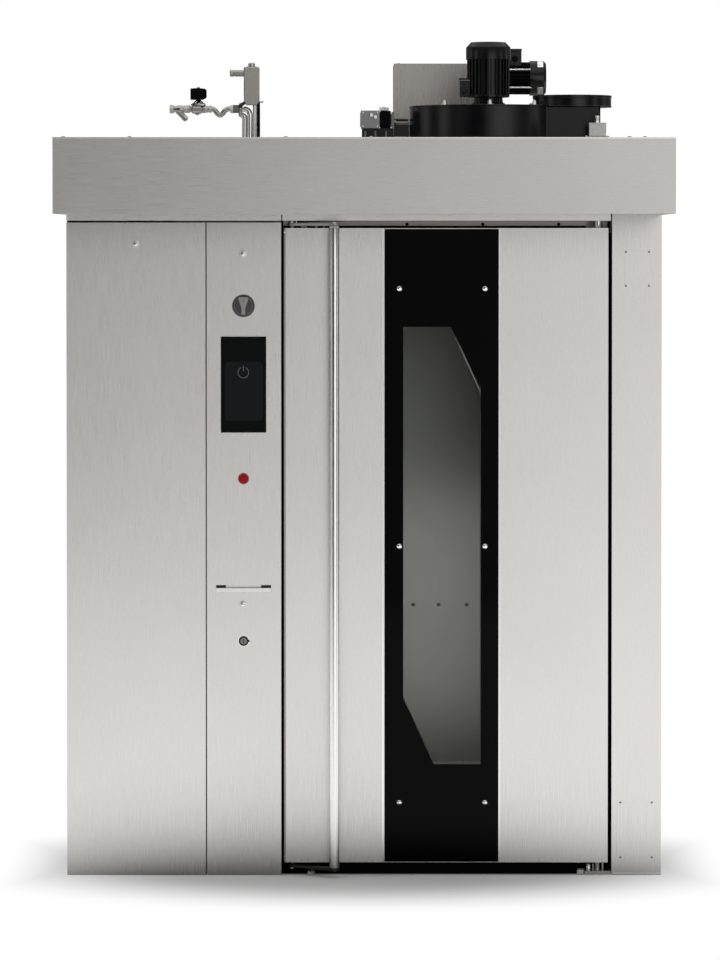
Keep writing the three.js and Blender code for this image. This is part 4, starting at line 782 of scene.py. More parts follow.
def make_pull_lip():
    """The folded edge of the pull under its slot, and black blocks behind the slot's ends as painted shade.
    """
    (left, right), top = PULL_X, PULL_TOP
    fold = [(0.2, -14), (2.6, -13.2), (2.6, -0.6), (1.9, 0.2), (-8, 0.2), (-8, -1), (0.2, -1.4)]
    shape = Shape("pull_lip", "bright_steel", "brushed_steel", body="control_door", bevel=0.3)
    shape.prism([(FRONT - out, top + up) for out, up in fold], left, right, "X")
    # black blocks behind the slot's ends: painted shade
    shape = Shape("pull_slot_painted_shade", "rubber", "rubber", body="control_door", bevel=0.3)
    for ends in ((left, left + 30), (right - 30, right)):
        shape.box(ends, (FRONT + 0.4, FRONT + 2), (top + 1.2, top + 8))


# ------------------------------------------------------------------ extractor on the hood

FAN = (372.6, -995)
DRUM_RADIUS = 238
OUTLET_START = 167.4  # from the fan's axis to where the outlet duct leaves the drum
OUTLET_DEPTH = 200
COLLAR_RADIUS = 118
DRUM_NUTS = (45, 135, 225, 315, 270, 90)  # degrees
NUT_CIRCLE = 189
COWL_DEPTH = 52  # of both motors


def add_bolt(shape, x, y, z, radius, height):
    """A washer, a nut and the bolt's round end."""
    shape.ring((x, y), radius * 1.7, radius * 0.5, z, z + 1.6, "Z", 0, 20)
    shape.prism(circle(x, y, radius, 6), z + 1.6, z + height * 0.75)
    shape.dome((x, y), radius * 0.55, z + height * 0.75, z + height, "Z", 0, 14)


def make_extractor():
    """The drum with its square outlet, the outlet's collar and the nuts on the drum's lid."""
    low, high = span("extractor_scroll")
    end = high.x - 39
    front = FAN[1] - math.sqrt(DRUM_RADIUS ** 2 - OUTLET_START ** 2) + 0.4
    back = front + OUTLET_DEPTH - 0.4
    bottom, top = low.z, span("extractor_motor")[0].z - 0.3
    outlet_top = top - 5
    r = DRUM_RADIUS
    drum = [(110, bottom + 2.5), (110, bottom), (r - 1, bottom), (r, bottom + 1), (r, bottom + 3.5),
            (r - 1.6, bottom + 4.5), (r - 1.6, top - 4.5), (r, top - 3.5), (r, top - 0.8), (r - 0.8, top),
            (70, top), (69, top - 1.2), (14, top - 1.2), (14, top - 3.6), (r - 4.6, top - 3.6),
            (r - 4.6, bottom + 2.5)]
    shape = Shape("extractor_housing", "black_paint", "black_paint", "extractor_scroll", angle=30)
    shape.hoop(drum, FAN, "Z", 96)
    start = FAN[0] + OUTLET_START
    inside = start - 30
    for y in ((front, front + 3), (back - 3, back)):
        shape.box((inside, end), y, (bottom, outlet_top))
    shape.box((end - 3, end), (front, back), (bottom, outlet_top))
    for z in ((bottom, bottom + 3), (outlet_top - 2, outlet_top)):
        shape.box((inside, end), (front, back), z)

    collar_place = (high.x - COLLAR_RADIUS, front + OUTLET_DEPTH / 2)
    r, z = COLLAR_RADIUS, high.z
    collar = [(r - 3, outlet_top), (r - 6, outlet_top), (r - 6, z - 1), (r - 4, z), (r - 1, z), (r, z - 1.5),
              (r, z - 8), (r - 1.4, z - 9.5), (r - 1.4, outlet_top + 4), (r, outlet_top + 2.5),
              (r, outlet_top)]
    shape = Shape("extractor_collar", "black_paint", "black_paint", angle=30)
    shape.hoop(collar, collar_place, "Z", 80)
    shape.ring(collar_place, r - 1.6, r - 40, outlet_top + 0.1, outlet_top + 3)
    shape.box((start - 1, start + 2.5), (front - 1.6, front + 4), (bottom, outlet_top))

    shape = Shape("extractor_nuts", "bright_steel", "chrome", bevel=0.3)
    for degrees in DRUM_NUTS:
        add_bolt(shape, *polar(*FAN, NUT_CIRCLE, math.radians(degrees)), top + 0.1, 7, 15.5)


def finned(u, v, radius, fins, height):
    """The outline of a ribbed motor housing; share is a fin's share of its step."""
    tip, slant, share = radius + height, 0.06, 0.38
    fin = ((0, radius), (slant, tip), (share, tip), (share + slant, radius))
    return [polar(u, v, r, TURN * (i + part) / fins) for i in range(fins) for part, r in fin]


def cowl_profile(radius, start, end, drop, inset):
    """A fan cowl with a sloping shoulder; start is its open end."""
    steps = [(0, 1), (0.04, 0.92), (0.13, 0.80), (0.50, 0.48), (0.86, 0.14), (0.97, 0.03), (1.06, 0)]
    rim = radius - inset * 1.06
    shoulder = [(radius - inset * across, end - drop * down) for across, down in steps]
    return [(radius, start), *shoulder, (rim - 2, end), (rim - 3, end - 2)]


def add_grille(shape, place, radius, top, axis):
    """Rings and spokes over the cowl's air inlet."""
    for step in range(1, 5):
        r = radius * step / 4.6
        shape.ring(place, r + 1.3, r - 1.3, top - 2.4, top, axis, 0, 36)
    for i in range(6):
        u, v = polar(0, 0, 1, math.pi * i / 6)
        side_u, side_v = -v * 1.3, u * 1.3
        reach = radius * 0.95
        ends = ((-1, -1), (1, -1), (1, 1), (-1, 1))
        shape.prism([(place[0] + u * reach * far + side_u * side, place[1] + v * reach * far + side_v * side)
                     for far, side in ends], top - 1.8, top, axis)


def make_fan_motor():
    """The flanged and ribbed motor, its cowl with four lugs, and its terminal box."""
    low, high = span("extractor_motor")
    base, cowl_start, body = low.z, high.z - COWL_DEPTH, 59
    corners = [math.radians(45 + 90 * i) for i in range(4)]
    shape = Shape("fan_motor_body", "black_paint", "black_paint", "extractor_motor", bevel=0.5)
    shape.hoop([(14, base), (50, base), (50, base + 9), (44, base + 12), (43, base + 28), (14, base + 28)],
               FAN, "Z", 48)
    for angle in corners:
        shape.prism(circle(*polar(*FAN, 44, angle), 9, 12), base, base + 24)
    shape.lathe([(body + 4, base + 27), (body + 4, base + 33)], FAN, "Z", 48)
    shape.prism(finned(*FAN, body - 2, 30, 7), base + 30, cowl_start + 2)

    shape = Shape("fan_motor_cowl", "black_paint", "black_paint", angle=30)
    shape.lathe(cowl_profile(67, cowl_start, high.z, 17, 15), FAN, "Z", 64)
    add_grille(shape, FAN, 50, high.z + 0.2, "Z")
    for angle in corners:
        shape.hoop([(2, cowl_start + 7.5), (3.4, cowl_start + 10), (2, cowl_start + 12.5)],
                   polar(*FAN, 67, angle), "Z", 10)

    shape = Shape("fan_motor_box", "black_paint light_plastic", "black_paint", bevel=1.2)
    right, y = FAN[0] - body + 4, FAN[1]
    shape.box((low.x + 2, right), (y - 29, y + 29), (base + 28, base + 76))
    shape.box((low.x, right - 4), (y - 31, y + 31), (base + 78.5, base + 84))
    shape.box((low.x + 1, right - 2), (y - 30, y + 30), (base + 76, base + 78.5), 1)
    shape.lathe([(7, y - 41), (9, y - 38), (9, y - 28)], (low.x + 14, base + 46), "Y", 6)


# ------------------------------------------------------------------ rack drive

GEARMOTOR = (-65, 2477)  # its axis in Y and Z
GEARMOTOR_LABELS = ((37, 77), (-65, -33))  # angles of the blank plates round the cowl


def make_gearmotor():
    """The gearbox with its ribbed motor, the motor's cowl, tie rods, blank plates and terminal box."""
    low, high = span("rack_gearmotor")
    wall = span("drive_housing")[1].x
    y, z = axis = GEARMOTOR
    cowl_start = high.x - COWL_DEPTH
    shape = Shape("gearmotor_body", "black_plastic", "black_paint", "rack_gearmotor", bevel=0.5)
    shape.box((low.x + 1, wall - 4), (y - 35, y + 35), (z - 40, z + 36))
    shape.lathe([(29.5, low.x + 20), (29.5, wall + 8)], axis, "X")
    shape.lathe([(55.5, wall + 0.3), (55.5, wall + 6), (50, wall + 8)], axis, "X", 56)
    shape.prism(finned(*axis, 46, 28, 6), wall + 7, cowl_start + 2, "X")

    shape = Shape("gearmotor_cowl", "black_paint", "black_paint", angle=30)
    shape.lathe(cowl_profile(56, cowl_start, high.x, 9, 8), axis, "X", 60)
    add_grille(shape, axis, 40, high.x + 0.2, "X")

    shape = Shape("gearmotor_fittings", "light_plastic", "light_plastic", bevel=0.8)
    for up in (26.5, -31):
        shape.tube([(wall + 7, y - 45, z + up), (cowl_start + 4, y - 45, z + up)], 2.6, 12)
    for start, end in GEARMOTOR_LABELS:
        turns = [math.radians(start + (end - start) * i / 8) for i in range(9)]
        outline = [(y - 56.9 * math.cos(a), z + 56.9 * math.sin(a)) for a in turns]
        outline += [(y - 55 * math.cos(a), z + 55 * math.sin(a)) for a in reversed(turns)]
        shape.prism(outline, cowl_start + 24, cowl_start + 42, "X")

    shape = Shape("gearmotor_box", "black_paint black_plastic", "black_paint", bevel=1.2)
    left, right = wall + 53.3, wall + 96.3
    shape.box((left, right), (y - 27, y + 27), (z + 40, high.z - 9))
    shape.box((left - 1, right + 1), (y - 28, y + 28), (high.z - 8.4, high.z))
    shape.lathe([(8, y - 36), (10, y - 33), (10, y - 26)], ((left + right) / 2, z + 62), "Y", 20, 1)


def make_drive_box_trim():
    """The screws of the drive's sheet cover."""
    low, high = span("drive_housing")
    shape = Shape("drive_cover_screws", "zinc", "chrome")
    for z in (low.z + 16, low.z + 118):
        shape.dome((low.x + 10.4, z), 4, low.y - 0.1, low.y - 2, "Y", 0, 18)
    for y in (low.y + 16, high.y - 16):
        for x in (low.x + 16, high.x - 16):
            shape.dome((x, y), 4.6, high.z + 0.1, high.z + 2.4, "Z", 0, 18)


# ------------------------------------------------------------------ damper, junction box

DAMPER_X = (-10, 90)  # the actuator's body


def make_damper():
    """The actuator on its plinth, the link to the damper and the hand knob."""
    low, high = span("damper_actuator")
    front, back = low.y, high.y
    middle, = centre("damper_actuator", "y")
    base = low.z
    left, right = DAMPER_X
    bottom, top = base + 32, base + 85
    shape = Shape("damper_motor", "grey_metal black_paint dark_steel chrome black_plastic", "grey_plastic",
                  "damper_actuator", bevel=1.4)
    shape.box((left, 46), (front, back), (bottom, top))
    shape.box((left - 2, left + 1), (front + 6, back - 6), (bottom + 6, top - 6))
    shape.box((48, 80), (front + 2, back - 2), (bottom + 1, top - 1), 4)
    shape.box((45, 49), (front + 6, back - 6), (bottom + 4, top - 4), 1)
    shape.box((82, right), (front + 8, back - 8), (bottom - 2, top - 4), 2)
    shape.box((79, 83), (front + 14, back - 14), (bottom + 6, top - 10), 2)
    for place in ((22, top - 14), (34, top - 20)):
        shape.lathe([(5, front - 9), (6.5, front - 6.5), (6.5, front + 1)], place, "Y", 18, 3)
    for place in grid((left + 6, 40), (bottom + 6, top - 6)):
        shape.dome(place, 3, front + 0.1, front - 1.6, "Y", 3, 14)

    shape = Shape("damper_base", "dark_steel black_paint dark_steel", "dark_steel", bevel=0.6)
    shape.box((low.x, right - 10), (front + 4, back - 4), (base, base + 3))
    shape.box((left + 3, right - 2), (front + 8, back - 8), (base + 3, bottom + 0.5), 1)
    for x in (left + 14, 34, 66):
        shape.prism(circle(x, front + 8, 5, 6), base + 3, bottom - 8, "Z", 2)

    shape = Shape("damper_link", "black_paint grey_metal", "black_paint", bevel=0.8)
    start, end = right - 1, high.x
    rod = (middle - 10, base + 49.5)
    shape.box((start, end), (middle - 20, middle + 20), (base + 8, base + 44))
    shape.tube([(start, *rod), (end, *rod)], 3.2, 14, 1)
    shape.tube([(start, middle + 6, base + 56), (end - 2, middle + 6, base + 56)], 6, 16)
    shape.ring(rod, 8, 3.4, right, right + 6, "X", 1, 6)

    low, high = span("damper_knob")
    place = centre("damper_knob", "xy")
    bottom = high.z - 12
    shape = Shape("damper_hand_knob", "light_plastic zinc", "light_plastic", "damper_knob",
                  "damper_spindle", bevel=0.8)
    shape.lathe([(3.8, low.z), (3.8, bottom)], place, "Z", 20)
    turns = [TURN * i / 48 for i in range(48)]
    lobes = [polar(*place, 13.2 + 1.2 * math.cos(6 * angle), angle) for angle in turns]
    shape.prism(lobes, bottom, high.z - 2)
    shape.dome(place, 6, high.z - 2.2, high.z, "Z", 1)


def make_junction():
    """The small box with its lid, its screws and the tall gland on it."""
    low, high = span("roof_junction_box")
    x = low.x + 37
    y, = centre("roof_junction_box", "y")
    roof, lid = low.z, low.z + 42
    shape = Shape("junction_box", "zinc bright_steel", "brushed_steel", "roof_junction_box", bevel=0.7)
    shape.box((low.x, high.x), (low.y + 2, high.y - 2), (roof, roof + 2.5))
    shape.box((x - 25, x + 25), (low.y + 1, high.y - 1), (roof + 2.5, lid - 3))
    shape.box((x - 26, x + 26), (low.y, high.y), (lid - 3, lid))
    for side in (low.x + 5, high.x - 4):
        shape.dome((side, y), 3.4, roof + 2.4, roof + 5, "Z", 1, 14)
    shape.prism(circle(x, y, 8, 6), lid, lid + 7, "Z", 1)
    gland = [(5.4, lid + 7), (5.4, lid + 13), (7.4, lid + 13.6), (7.4, lid + 19), (5, high.z)]
    shape.lathe(gland, (x, y), "Z", 24, 1)


# ------------------------------------------------------------------ water line and vent

WATER_LINE = (-400, 2368)  # the depth and level of the pipe's axis
PIPE = 9  # its radius


def make_strainer():
    y, z = WATER_LINE
    low, high = span("water_strainer")
    left = low.x
    shape = Shape("strainer", "plated_dull dark_steel", "brass", "water_strainer", bevel=0.8)
    shape.prism(circle(y, z, 15, 6), left, left + 13, "X")
    shape.ring(WATER_LINE, 12.4, 8.6, left, left + 3, "X", 1, 24)
    shape.lathe([(9.6, left + 12.5), (9.6, left + 20), (12, left + 24), (12, left + 40), (9.6, left + 44),
                 (9.6, left + 47)], WATER_LINE, "X", 32)
    shape.prism(circle(y, z, 13.4, 6), left + 45, high.x - 0.2, "X")
    slope = math.sqrt(0.5)
    start = Vector((left + 20, y, z))
    way = Vector((slope, 0, -slope))
    for near, far, radius, count in ((0, 34, 8.8, 24), (33, 46, 10.4, 6), (46, 49, 5, 16)):
        shape.tube([start + way * near, start + way * far], radius, count)


def make_valve():
    """The solenoid valve's body, its neck with two wires, and its moulded coil."""
    y, z = WATER_LINE
    low, high = span("solenoid_valve")
    left, right = low.x, low.x + 56.7
    coil_x = (left + right) / 2 + 7
    barrel = [(12, left), (12, left + 8), (9, left + 10), (9, left + 13), (14.4, left + 17),
              (14.4, right - 13), (10.4, right - 8), (12.6, right - 7), (12.6, right)]
    shape = Shape("valve_body", "plated_dull", "brass", "solenoid_valve", bevel=1.6, segments=3)
    shape.lathe(barrel, WATER_LINE, "X", 36)
    shape.prism(circle(y, z, 13, 6), left + 0.4, left + 7, "X")
    shape.prism(circle(y, z, 13, 6), right - 1, high.x - 5, "X")
    shape.lathe([(10, high.x - 6), (10, high.x)], WATER_LINE, "X", 24)
    shape.prism(rounded(coil_x - 24, coil_x + 22, y - 15, y + 15, 8), z + 11, z + 16.5)
    shape.dome((coil_x - 4, y), 7, z - 13.5, z - 19, "Z", 0, 20)
    shape.ring((coil_x, y), 14, 4, z + 16, z + 19, "Z", 0, 28)
    for side in (-1, 1):
        shape.dome((coil_x + side * 18, y - 9), 3, z + 16, z + 19.5, "Z", 0, 12)

    shape = Shape("valve_neck", "plated_dull black_plastic", "brass")
    top = high.z
    shape.lathe([(10.6, z + 18), (6, z + 23), (5.4, top)], (coil_x, y), "Z", 24)
    for side in (-1, 1):
        wire = [(coil_x + side * 15, y - 10, z + 18), (coil_x + side * 4, y - 10, top - 0.4)]
        shape.tube(wire, 2.2, 10, 1)

    low, high = span("solenoid_coil")
    left, right, top = low.x, high.x, high.z
    shell = [(left, low.z + 0.2), (left + 38, low.z + 0.2), (right - 4, low.z + 4), (right, low.z + 8),
             (right, top - 7), (right - 4, top - 3.4), (right - 14, top - 2.4), (left + 30, top - 1.4),
             (left + 14, top - 1.4), (left + 6, top - 2.4), (left, top - 2.4)]
    shape = Shape("valve_coil", "black_plastic plated_dull", "black_paint", "solenoid_coil", bevel=1.5,
                  segments=3)
    shape.prism(shell, low.y + 1, high.y - 1, "Y")
    shape.ring((coil_x, y), 10, 3, top - 3.6, top - 1.4, "Z", 1, 24)
    shape.dome((coil_x, y), 4.6, top - 1.6, top + 3.5, "Z", 1, 18)


def make_water_pipe():
    """The dipped pipe, the check valve and the riser with the drain beside it."""
    low = span("water_pipe")[0]
    y, z = WATER_LINE
    start, floor = low.x, low.z
    left, right = start + 68, start + 102  # the check valve's ends
    riser = right + 26
    dip = [(0.14, 0.6), (0.28, -5), (0.40, -15), (0.5, -18.5), (0.60, -15), (0.72, -5), (0.86, 0.6)]
    route = [(start + (left - start) * share, y, z + drop) for share, drop in dip]
    elbow = [(right - 2, y, z), (riser - 17, y, z), (riser - 7, y, z - 3.4), (riser - 1.4, y, z - 12),
             (riser, y, z - 24), (riser, y, z - 50), (riser, y, floor)]
    shape = Shape("trap_pipe", "plated plated_dull", "brass", "water_pipe", bevel=0.5)
    shape.tube(smooth_route([(start, y, z), *route, (left + 2, y, z)]), PIPE - 0.8, 24, 1)
    shape.tube(smooth_route(elbow), PIPE - 0.4, 24)
    shape.prism(circle(y, z, 14.5, 6), left - 2, left + 8, "X", 1)
    shape.prism(circle(y, z, 13.4, 6), start + 0.2, start + 7, "X", 1)

    shape = Shape("check_valve", "dark_steel plated_dull rubber", "brass", bevel=1.2)
    shape.box((left + 7, right - 8), (y - 14, y + 14), (z - 12, z + 13))
    cap = [(15, right - 9), (20.5, right - 6), (20.5, right - 1), (15, right + 2)]
    shape.lathe(cap, WATER_LINE, "X", 32, 1)
    shape.tube([(right - 8, y - 20, z + 8), (right + 10, y - 20, z + 20)], 5.5, 8, 2)

    shape = Shape("drain_riser", "plated rubber", "brass")
    x, back = right + 8.6, y + 22
    route = [(x - 12, back, z - 18), (x - 4, back, z - 19), (x, back, z - 28), (x, back, z - 60),
             (x, back, floor)]
    shape.tube(smooth_route(route), 8.6)
    shape.tube([(x - 12, back, z - 18), (x - 12, y + 6, z - 14)], 7, 16)
    for place in ((riser, y), (x, back), (riser + 23.6, y)):
        shape.lathe([(12, floor), (11.4, floor + 3), (10, floor + 4)], place, "Z", 28, 1)


def make_vent():
    """The steam vent's box on its two risers, with its cap, its nipple and a small tap."""
    low, high = span("vent_box")
    half = 24.3
    x, y = high.x - 27.6, WATER_LINE[0]
    top = high.z - 14
    bottom = top - 105
    side = [(half * 0.72, bottom - 14), (half * 0.93, bottom - 7), (half, bottom + 4), (half, top)]
    outline = [(x - side[0][0], side[0][1])] + [(x + u, z) for u, z in side]
    outline += [(x - u, z) for u, z in side[:0:-1]]
    shape = Shape("vent_body", "steel_vent", "brushed_steel", "vent_box", bevel=3.2, segments=4)
    shape.prism(outline, y - half, y + half, "Y")

    shape = Shape("vent_riser", "black_plastic plated", "brushed_steel")
    for across, radius, finish in ((21.2, 5.4, 0), (9.5, 5.8, 1)):
        shape.lathe([(radius, low.z), (radius, bottom - 2)], (x + across, y), "Z", 28, finish)

    shape = Shape("vent_fittings", "plated_dull steel_vent", "chrome", bevel=0.5)
    shape.lathe([(17.6, top - 0.5), (17.6, top + 1.6), (11, top + 3)], (x, y), "Z", 32)
    shape.lathe([(9.6, top + 2.8), (10.6, top + 4), (10.6, high.z - 3), (8, high.z)], (x, y), "Z", 12)
    end = x - half - 44
    nipple = [(10.4, x - half + 1), (10.4, end + 15), (8.6, end + 13), (11, end + 9), (11, end + 3),
              (8.4, end), (5.6, end), (5.6, end + 5)]
    shape.lathe(nipple, (y, top - 19), "X", 32, 1)
    tap = (y, bottom - 4)
    shape.tube([(x + half - 1, *tap), (x + half + 9, *tap)], 2.4, 12)
    shape.dome(tap, 4, x + half + 8, x + half + 12, "X", 0, 14)


# ------------------------------------------------------------------ small fittings of the cabinet

UPPER_PLATE = ((800.8, 879.3), (1812, 1924.4))
LOWER_PLATE = ((779.2, 896.3), (55.1, 224.5))
PILLAR_EDGE = ((764.5, 913), (2.4, 7.6))
FRAME_WALL = -603  # the front of the door frame's plate
HEADER_FACE = -645
HEADER_WIDTH = (-249, 686)
HEADER_EDGES = (2001, 2016.6)
HEADER_SCREWS = grid((132.4, 366.5, 600.6), (2006.3,))
HEADER_PIN = (-209.2, HEADER_FACE - 2.8)
HEADER_SLOTS = (((-205.4, -172.5), 2011.6), ((-172.5, -135), 2013.4), ((-135, -58), 2014.9))
STRIKES = ((-194, -176), (-151.4, -142.6), (-126.5, -122.6))
BACK_WALL_SCREWS = grid((166, 251, 345), (735,))
DOOR_AXIS = (720, -675)
DOOR_PLUG_Z = (56.7, 1982)
KICK_BRACKETS = (-248, -40, 220, 470, 676)
FEET = ((-163.2, 11), (668, 15.4))  # X and height
FOOT_Y = -689
KICK_FACE = -677  # the front of the kick plate
HOOD_SCREW_X = (-885, -690, -230, 20, 780, 825)
CABLE_GLANDS = ((-825, 15), (-780, 15), (-735, 11))  # X and radius
GLAND_Z = 1860
DRAIN = (820, 110)


def make_pillar_plates():
    shape = Shape("pillar_plates", "steel_upright", "brushed_steel", bevel=0.25)
    for (x, z), proud in ((UPPER_PLATE, 1.3), (LOWER_PLATE, 0.5)):
        shape.prism(rounded(*x, *z, 3), FRONT - proud, FRONT - 0.1, "Y")
    shape = Shape("pillar_screws", "dark_steel", "dark_steel")
    (left, right), (bottom, top) = UPPER_PLATE
    for place in grid((left + 4, right - 3.5), (bottom + 4.5, top - 4)):
        shape.dome(place, 3.2, FRONT - 1.2, FRONT - 3, "Y", 0, 18)
    (left, right), heights = LOWER_PLATE
    for place in grid((left + 10.8, right - 9.3), heights):
        shape.dome(place, 3.2, FRONT - 0.1, FRONT - 2.4, "Y", 0, 18)


def make_header():
    """The folded strip over the door with its screws, slots and strikes."""
    face, wall = HEADER_FACE, FRAME_WALL - 0.1
    bottom, top = HEADER_EDGES
    shape = Shape("header_strip", "steel_frame", "brushed_steel", bevel=0.5)
    shape.box(HEADER_WIDTH, (face, wall), HEADER_EDGES)
    for x in STRIKES:
        shape.box(x, (face - 3, wall), (bottom - 6.2, bottom + 3))

    shape = Shape("header_screws", "black_plastic", "dark_steel")
    for place in HEADER_SCREWS:
        shape.dome(place, 5, face - 0.1, face - 3.6, "Y", 0, 20)

    # black sheets before the header that paint the shade inside its slots
    shape = Shape("header_slots", "gap_seal bright_steel", "dark_steel", bevel=0.2)
    for x, z in HEADER_SLOTS:
        shape.box(x, (face - 0.9, face - 0.1), (z, top - 0.1))
    x, y = HEADER_PIN
    shape.tube([(x, y, top - 9), (x, y, top)], 2.8, 12, 1)


def make_gap_painted_shade():
    """Painted shade: near black sheets on the door frame, seen in the gaps round the door, and the kick
    plate under it.
    """
    wall = FRAME_WALL
    left, right = HEADER_WIDTH
    jamb = span("right_pillar")[0].x
    shape = Shape("gap_painted_shade", "gap_seal", "rubber", bevel=0.2)
    shape.box((left, right), (wall - 1.8, wall - 0.1), (1988, HEADER_EDGES[0]))
    edge = KICK_FACE + 1.9  # of the painted shade strip along the door's left side
    shape.box((left - 5.6, left - 0.6), (edge - 1.7, edge), (2, HEADER_EDGES[1]))
    shape.box((left - 0.9, left - 0.1), (edge, wall - 0.1), (2, HEADER_EDGES[1]))
    shape.box((jamb - 1.3, jamb - 0.1), (-690, wall - 0.2), (14, 1980))
    shape.box((753.6, jamb - 1.3), (wall - 1.8, wall - 0.2), (14, 2016))

    # the kick plate, near black as painted shadow under the door
    face = KICK_FACE
    shape = Shape("kick_plate_painted_shade", "gap_seal", "rubber", bevel=0.3)
    shape.box((left, 680), (wall - 1.8, wall - 0.1), (0.5, 32))
    shape.box((left, 679), (face, face + 1.6), (0.5, 20))
    shape.box((-184, 679), (face, face + 1.6), (19, 36))
    for x in KICK_BRACKETS:
        shape.box((x - 1, x + 1), (face + 1.4, wall - 1), (0.5, 19))
    shape.box((679, jamb - 1.3), (-641.6, -640), (12.2, 32))
    shape.box((jamb - 3, jamb - 1.3), (-641.6, wall - 0.2), (12.2, 32))


def make_hinges():
    """A flared collar, a stop bolt and a grease nipple round the lower pin, and the upper pin's sleeve."""
    x, y = DOOR_AXIS
    plate = 12.1
    stop = [(8, plate), (8, 15), (7.2, 16), (7.2, 32), (6, 33.6)]
    shape = Shape("bottom_hinge_sleeve", "bright_steel zinc", "brushed_steel", bevel=0.4)
    shape.hoop([(9.7, 30), (10, 30), (11.6, 34), (11.6, 38.4), (9.7, 38.4)], (x, y), "Z", 32)
    shape.lathe(stop, (x - 28, y - 10), "Z", 28)
    shape.lathe([(2.2, plate), (2.2, 33)], (x - 13.6, y - 12), "Z", 14, 1)
    shape.lathe([(3.4, plate), (3.4, 28), (3, 36)], (x + 16, y - 12), "Z", 14, 1)
    shape = Shape("top_hinge_sleeve", "bright_steel zinc", "brushed_steel", bevel=0.4)
    shape.ring((x, y), 11, 5.9, 1996, 2016.5, "Z", 0, 28)
    shape.hoop([(5.9, 1995.2), (16, 1995.2), (12, 2004), (5.9, 2004)], (x, y), "Z", 28, 1)


def make_feet():
    """Levelling feet before the kick plate, under the door."""
    y = FOOT_Y
    shape = Shape("door_feet", "light_plastic dark_steel", "light_plastic", bevel=0.3)
    for x, top in FEET:
        shape.lathe([(11.2, 0.2), (11.6, 1), (11, top - 1.4), (10.2, top)], (x, y), "Z", 36)
        shape.lathe([(5, top), (5, top + 2)], (x, y), "Z", 6, 1)
        shape.box((x - 9, x + 9), (y - 3, KICK_FACE - 0.1), (top + 2, top + 4), 1)


def make_base_strips():
    """The pillar's lower edge as a strip of painted highlight, the door's hems, its turned-in left edge and
    the plugs in it.
    """
    # a strip of painted highlight along the pillar's foot
    shape = Shape("pillar_base_edge", "steel_painted_light", "brushed_steel", bevel=0.3)
    shape.box(PILLAR_EDGE[0], (FRONT - 0.9, FRONT - 0.1), PILLAR_EDGE[1])
    low, high = span("door_left_skin")
    bottom, top = low.z + 0.2, high.z - 0.2
    shape = Shape("door_hems", "bright_steel", "brushed_steel", body="door", bevel=0.1)
    for z in ((bottom, low.z + 2), (high.z - 2, top)):
        shape.box((low.x + 6, span("door_right_skin")[1].x - 0.5), (FRONT - 0.4, FRONT - 0.1), z)
    shape = Shape("door_edge_strip", "steel_frame", "brushed_steel", body="door", bevel=0.1)
    shape.box((low.x + 0.1, low.x + 5.2), (FRONT - 0.5, FRONT - 0.1), (bottom, top))
    shape = Shape("door_edge_plugs", "chrome", "chrome", body="door")
    for z in DOOR_PLUG_Z:
        shape.dome((low.x + 2.4, z), 2.6, FRONT - 0.4, FRONT - 2.2, "Y", 0, 14)


def make_hood_trim():
    """The roof's hem down to the lintel, the hood's hemmed top edge, and the screws that hold the roof."""
    low, high = span("hood_front")
    roof_low, roof_high = span("hood_roof")
    back, lintel_top = roof_high.y, span("lintel_panel")[1].z
    shape = Shape("hood_roof_hem", "steel_deep", "brushed_steel", bevel=0.2)
    shape.box((roof_low.x + 2.2, roof_high.x - 2.2), (back - 2, back), (lintel_top, roof_low.z))
    shape = Shape("hood_hems", "bright_steel", "brushed_steel", bevel=0.15)
    shape.box((low.x + 0.4, high.x - 0.4), (low.y - 0.5, low.y - 0.1), (high.z - 4.2, high.z - 0.4))
    shape = Shape("hood_screws", "zinc", "chrome")
    for place in grid(HOOD_SCREW_X, (low.y + 22, -730)):
        shape.dome(place, 6, high.z + 0.1, high.z + 3.6, "Z", 0, 20)


def make_window_fittings():
    """Screws of the far wall, seen through the window."""
    wall = span("chamber_rear_wall")[0].y
    shape = Shape("chamber_wall_screws", "dark_steel", "dark_steel")
    for place in BACK_WALL_SCREWS:
        shape.dome(place, 6.5, wall - 0.1, wall - 3.2, "Y", 0, 20)


def spaced(low, high, margin, count):
    return [low + margin + (high - low - 2 * margin) * i / (count - 1) for i in range(count)]


def make_side_fittings():
    """Cover strips and rivets of the two sides."""
    shape = Shape("side_strips", "steel_upright", "brushed_steel", bevel=0.3)
    rivets = Shape("side_rivets", "zinc", "chrome")
    for node, way in (("left_side_panel", -1), ("right_side_panel", 1)):
        low, high = span(node)
        face = low.x if way < 0 else high.x
        middle, = centre(node, "y")
        for y, half in ((low.y + 30, 14), (middle, 20), (high.y - 30, 14)):
            shape.prism(rounded(y - half, y + half, low.z + 12, high.z - 12, 2),
                        *sorted((face + 0.1 * way, face + 1.4 * way)), "X")
            for z in spaced(low.z, high.z, 60, 12):
                rivets.dome((y, z), 4, face + 1.3 * way, face + 3.2 * way, "X", 0, 14)


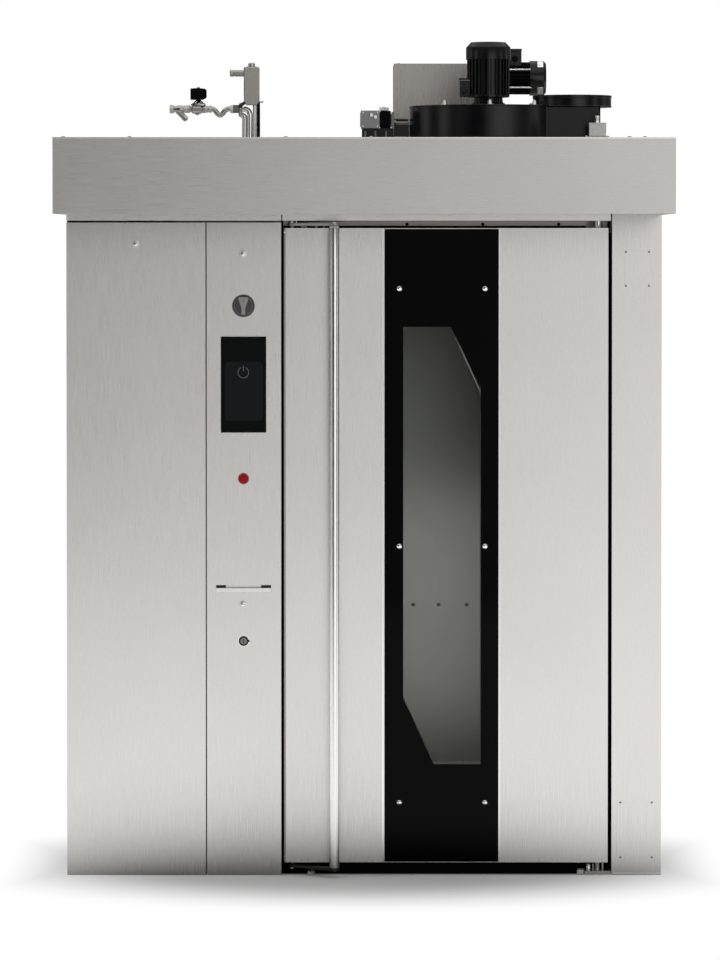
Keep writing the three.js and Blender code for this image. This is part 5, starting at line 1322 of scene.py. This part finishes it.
def make_rear_fittings():
    """Cover strips, rivets, a cable inlet and a drain on the back."""
    low, high = span("rear_panel")
    face = high.y
    shape = Shape("rear_strips", "steel_upright", "brushed_steel", bevel=0.3)
    rivets = Shape("rear_rivets", "zinc", "chrome")
    for x in (low.x + 22, low.x + 610, high.x - 610, high.x - 22):
        shape.prism(rounded(x - 16, x + 16, low.z + 14, high.z - 14, 2), face + 0.1, face + 1.4, "Y")
        for z in spaced(low.z, high.z, 60, 12):
            rivets.dome((x, z), 4, face + 1.3, face + 3.2, "Y", 0, 14)
    for z in (low.z + 20, high.z - 20):
        for x in spaced(low.x, high.x, 110, 9):
            rivets.dome((x, z), 4, face + 0.1, face + 2, "Y", 0, 14)

    shape = Shape("rear_inlets", "bright_steel grey_plastic rubber plated", "brushed_steel", bevel=0.5)
    shape.prism(rounded(-860, -700, GLAND_Z - 40, GLAND_Z + 40, 6), face + 0.1, face + 2.6, "Y")
    for x, r in CABLE_GLANDS:
        nut = [(r * 0.5, 8), (r * 0.86, 8), (r * 0.8, 18), (r * 0.62, 21), (r * 0.5, 21)]
        shape.prism(circle(x, GLAND_Z, r, 6), face + 2.6, face + 8, "Y", 1)
        shape.hoop([(radius, face + out) for radius, out in nut], (x, GLAND_Z), "Y", 24, 1)
        shape.lathe([(r * 0.5, face + 8), (r * 0.5, face + 14)], (x, GLAND_Z), "Y", 20, 2)
    shape.ring(DRAIN, 21, 17, face + 0.1, face + 20, "Y", 3, 32)
    shape.ring(DRAIN, 30, 20, face + 0.1, face + 3, "Y", 3, 32)


# ------------------------------------------------------------------ the whole

STEPS = (
    make_camera, make_world, make_floor, make_lamps, dress_cad,
    make_door_glass, make_glass_trims, make_gasket, make_handle,
    make_knob, make_screen, make_stop_button, make_lock, make_quarter_turns, make_pull_lip,
    make_extractor, make_fan_motor, make_gearmotor, make_drive_box_trim, make_damper, make_junction,
    make_strainer, make_valve, make_water_pipe, make_vent,
    make_pillar_plates, make_header, make_gap_painted_shade, make_hinges, make_feet, make_base_strips,
    make_hood_trim, make_window_fittings, make_side_fittings, make_rear_fittings,
)

bpy.context.scene.view_settings.view_transform = "Standard"
for step in STEPS:
    step()
for shape in SHAPES:
    shape.make_object()
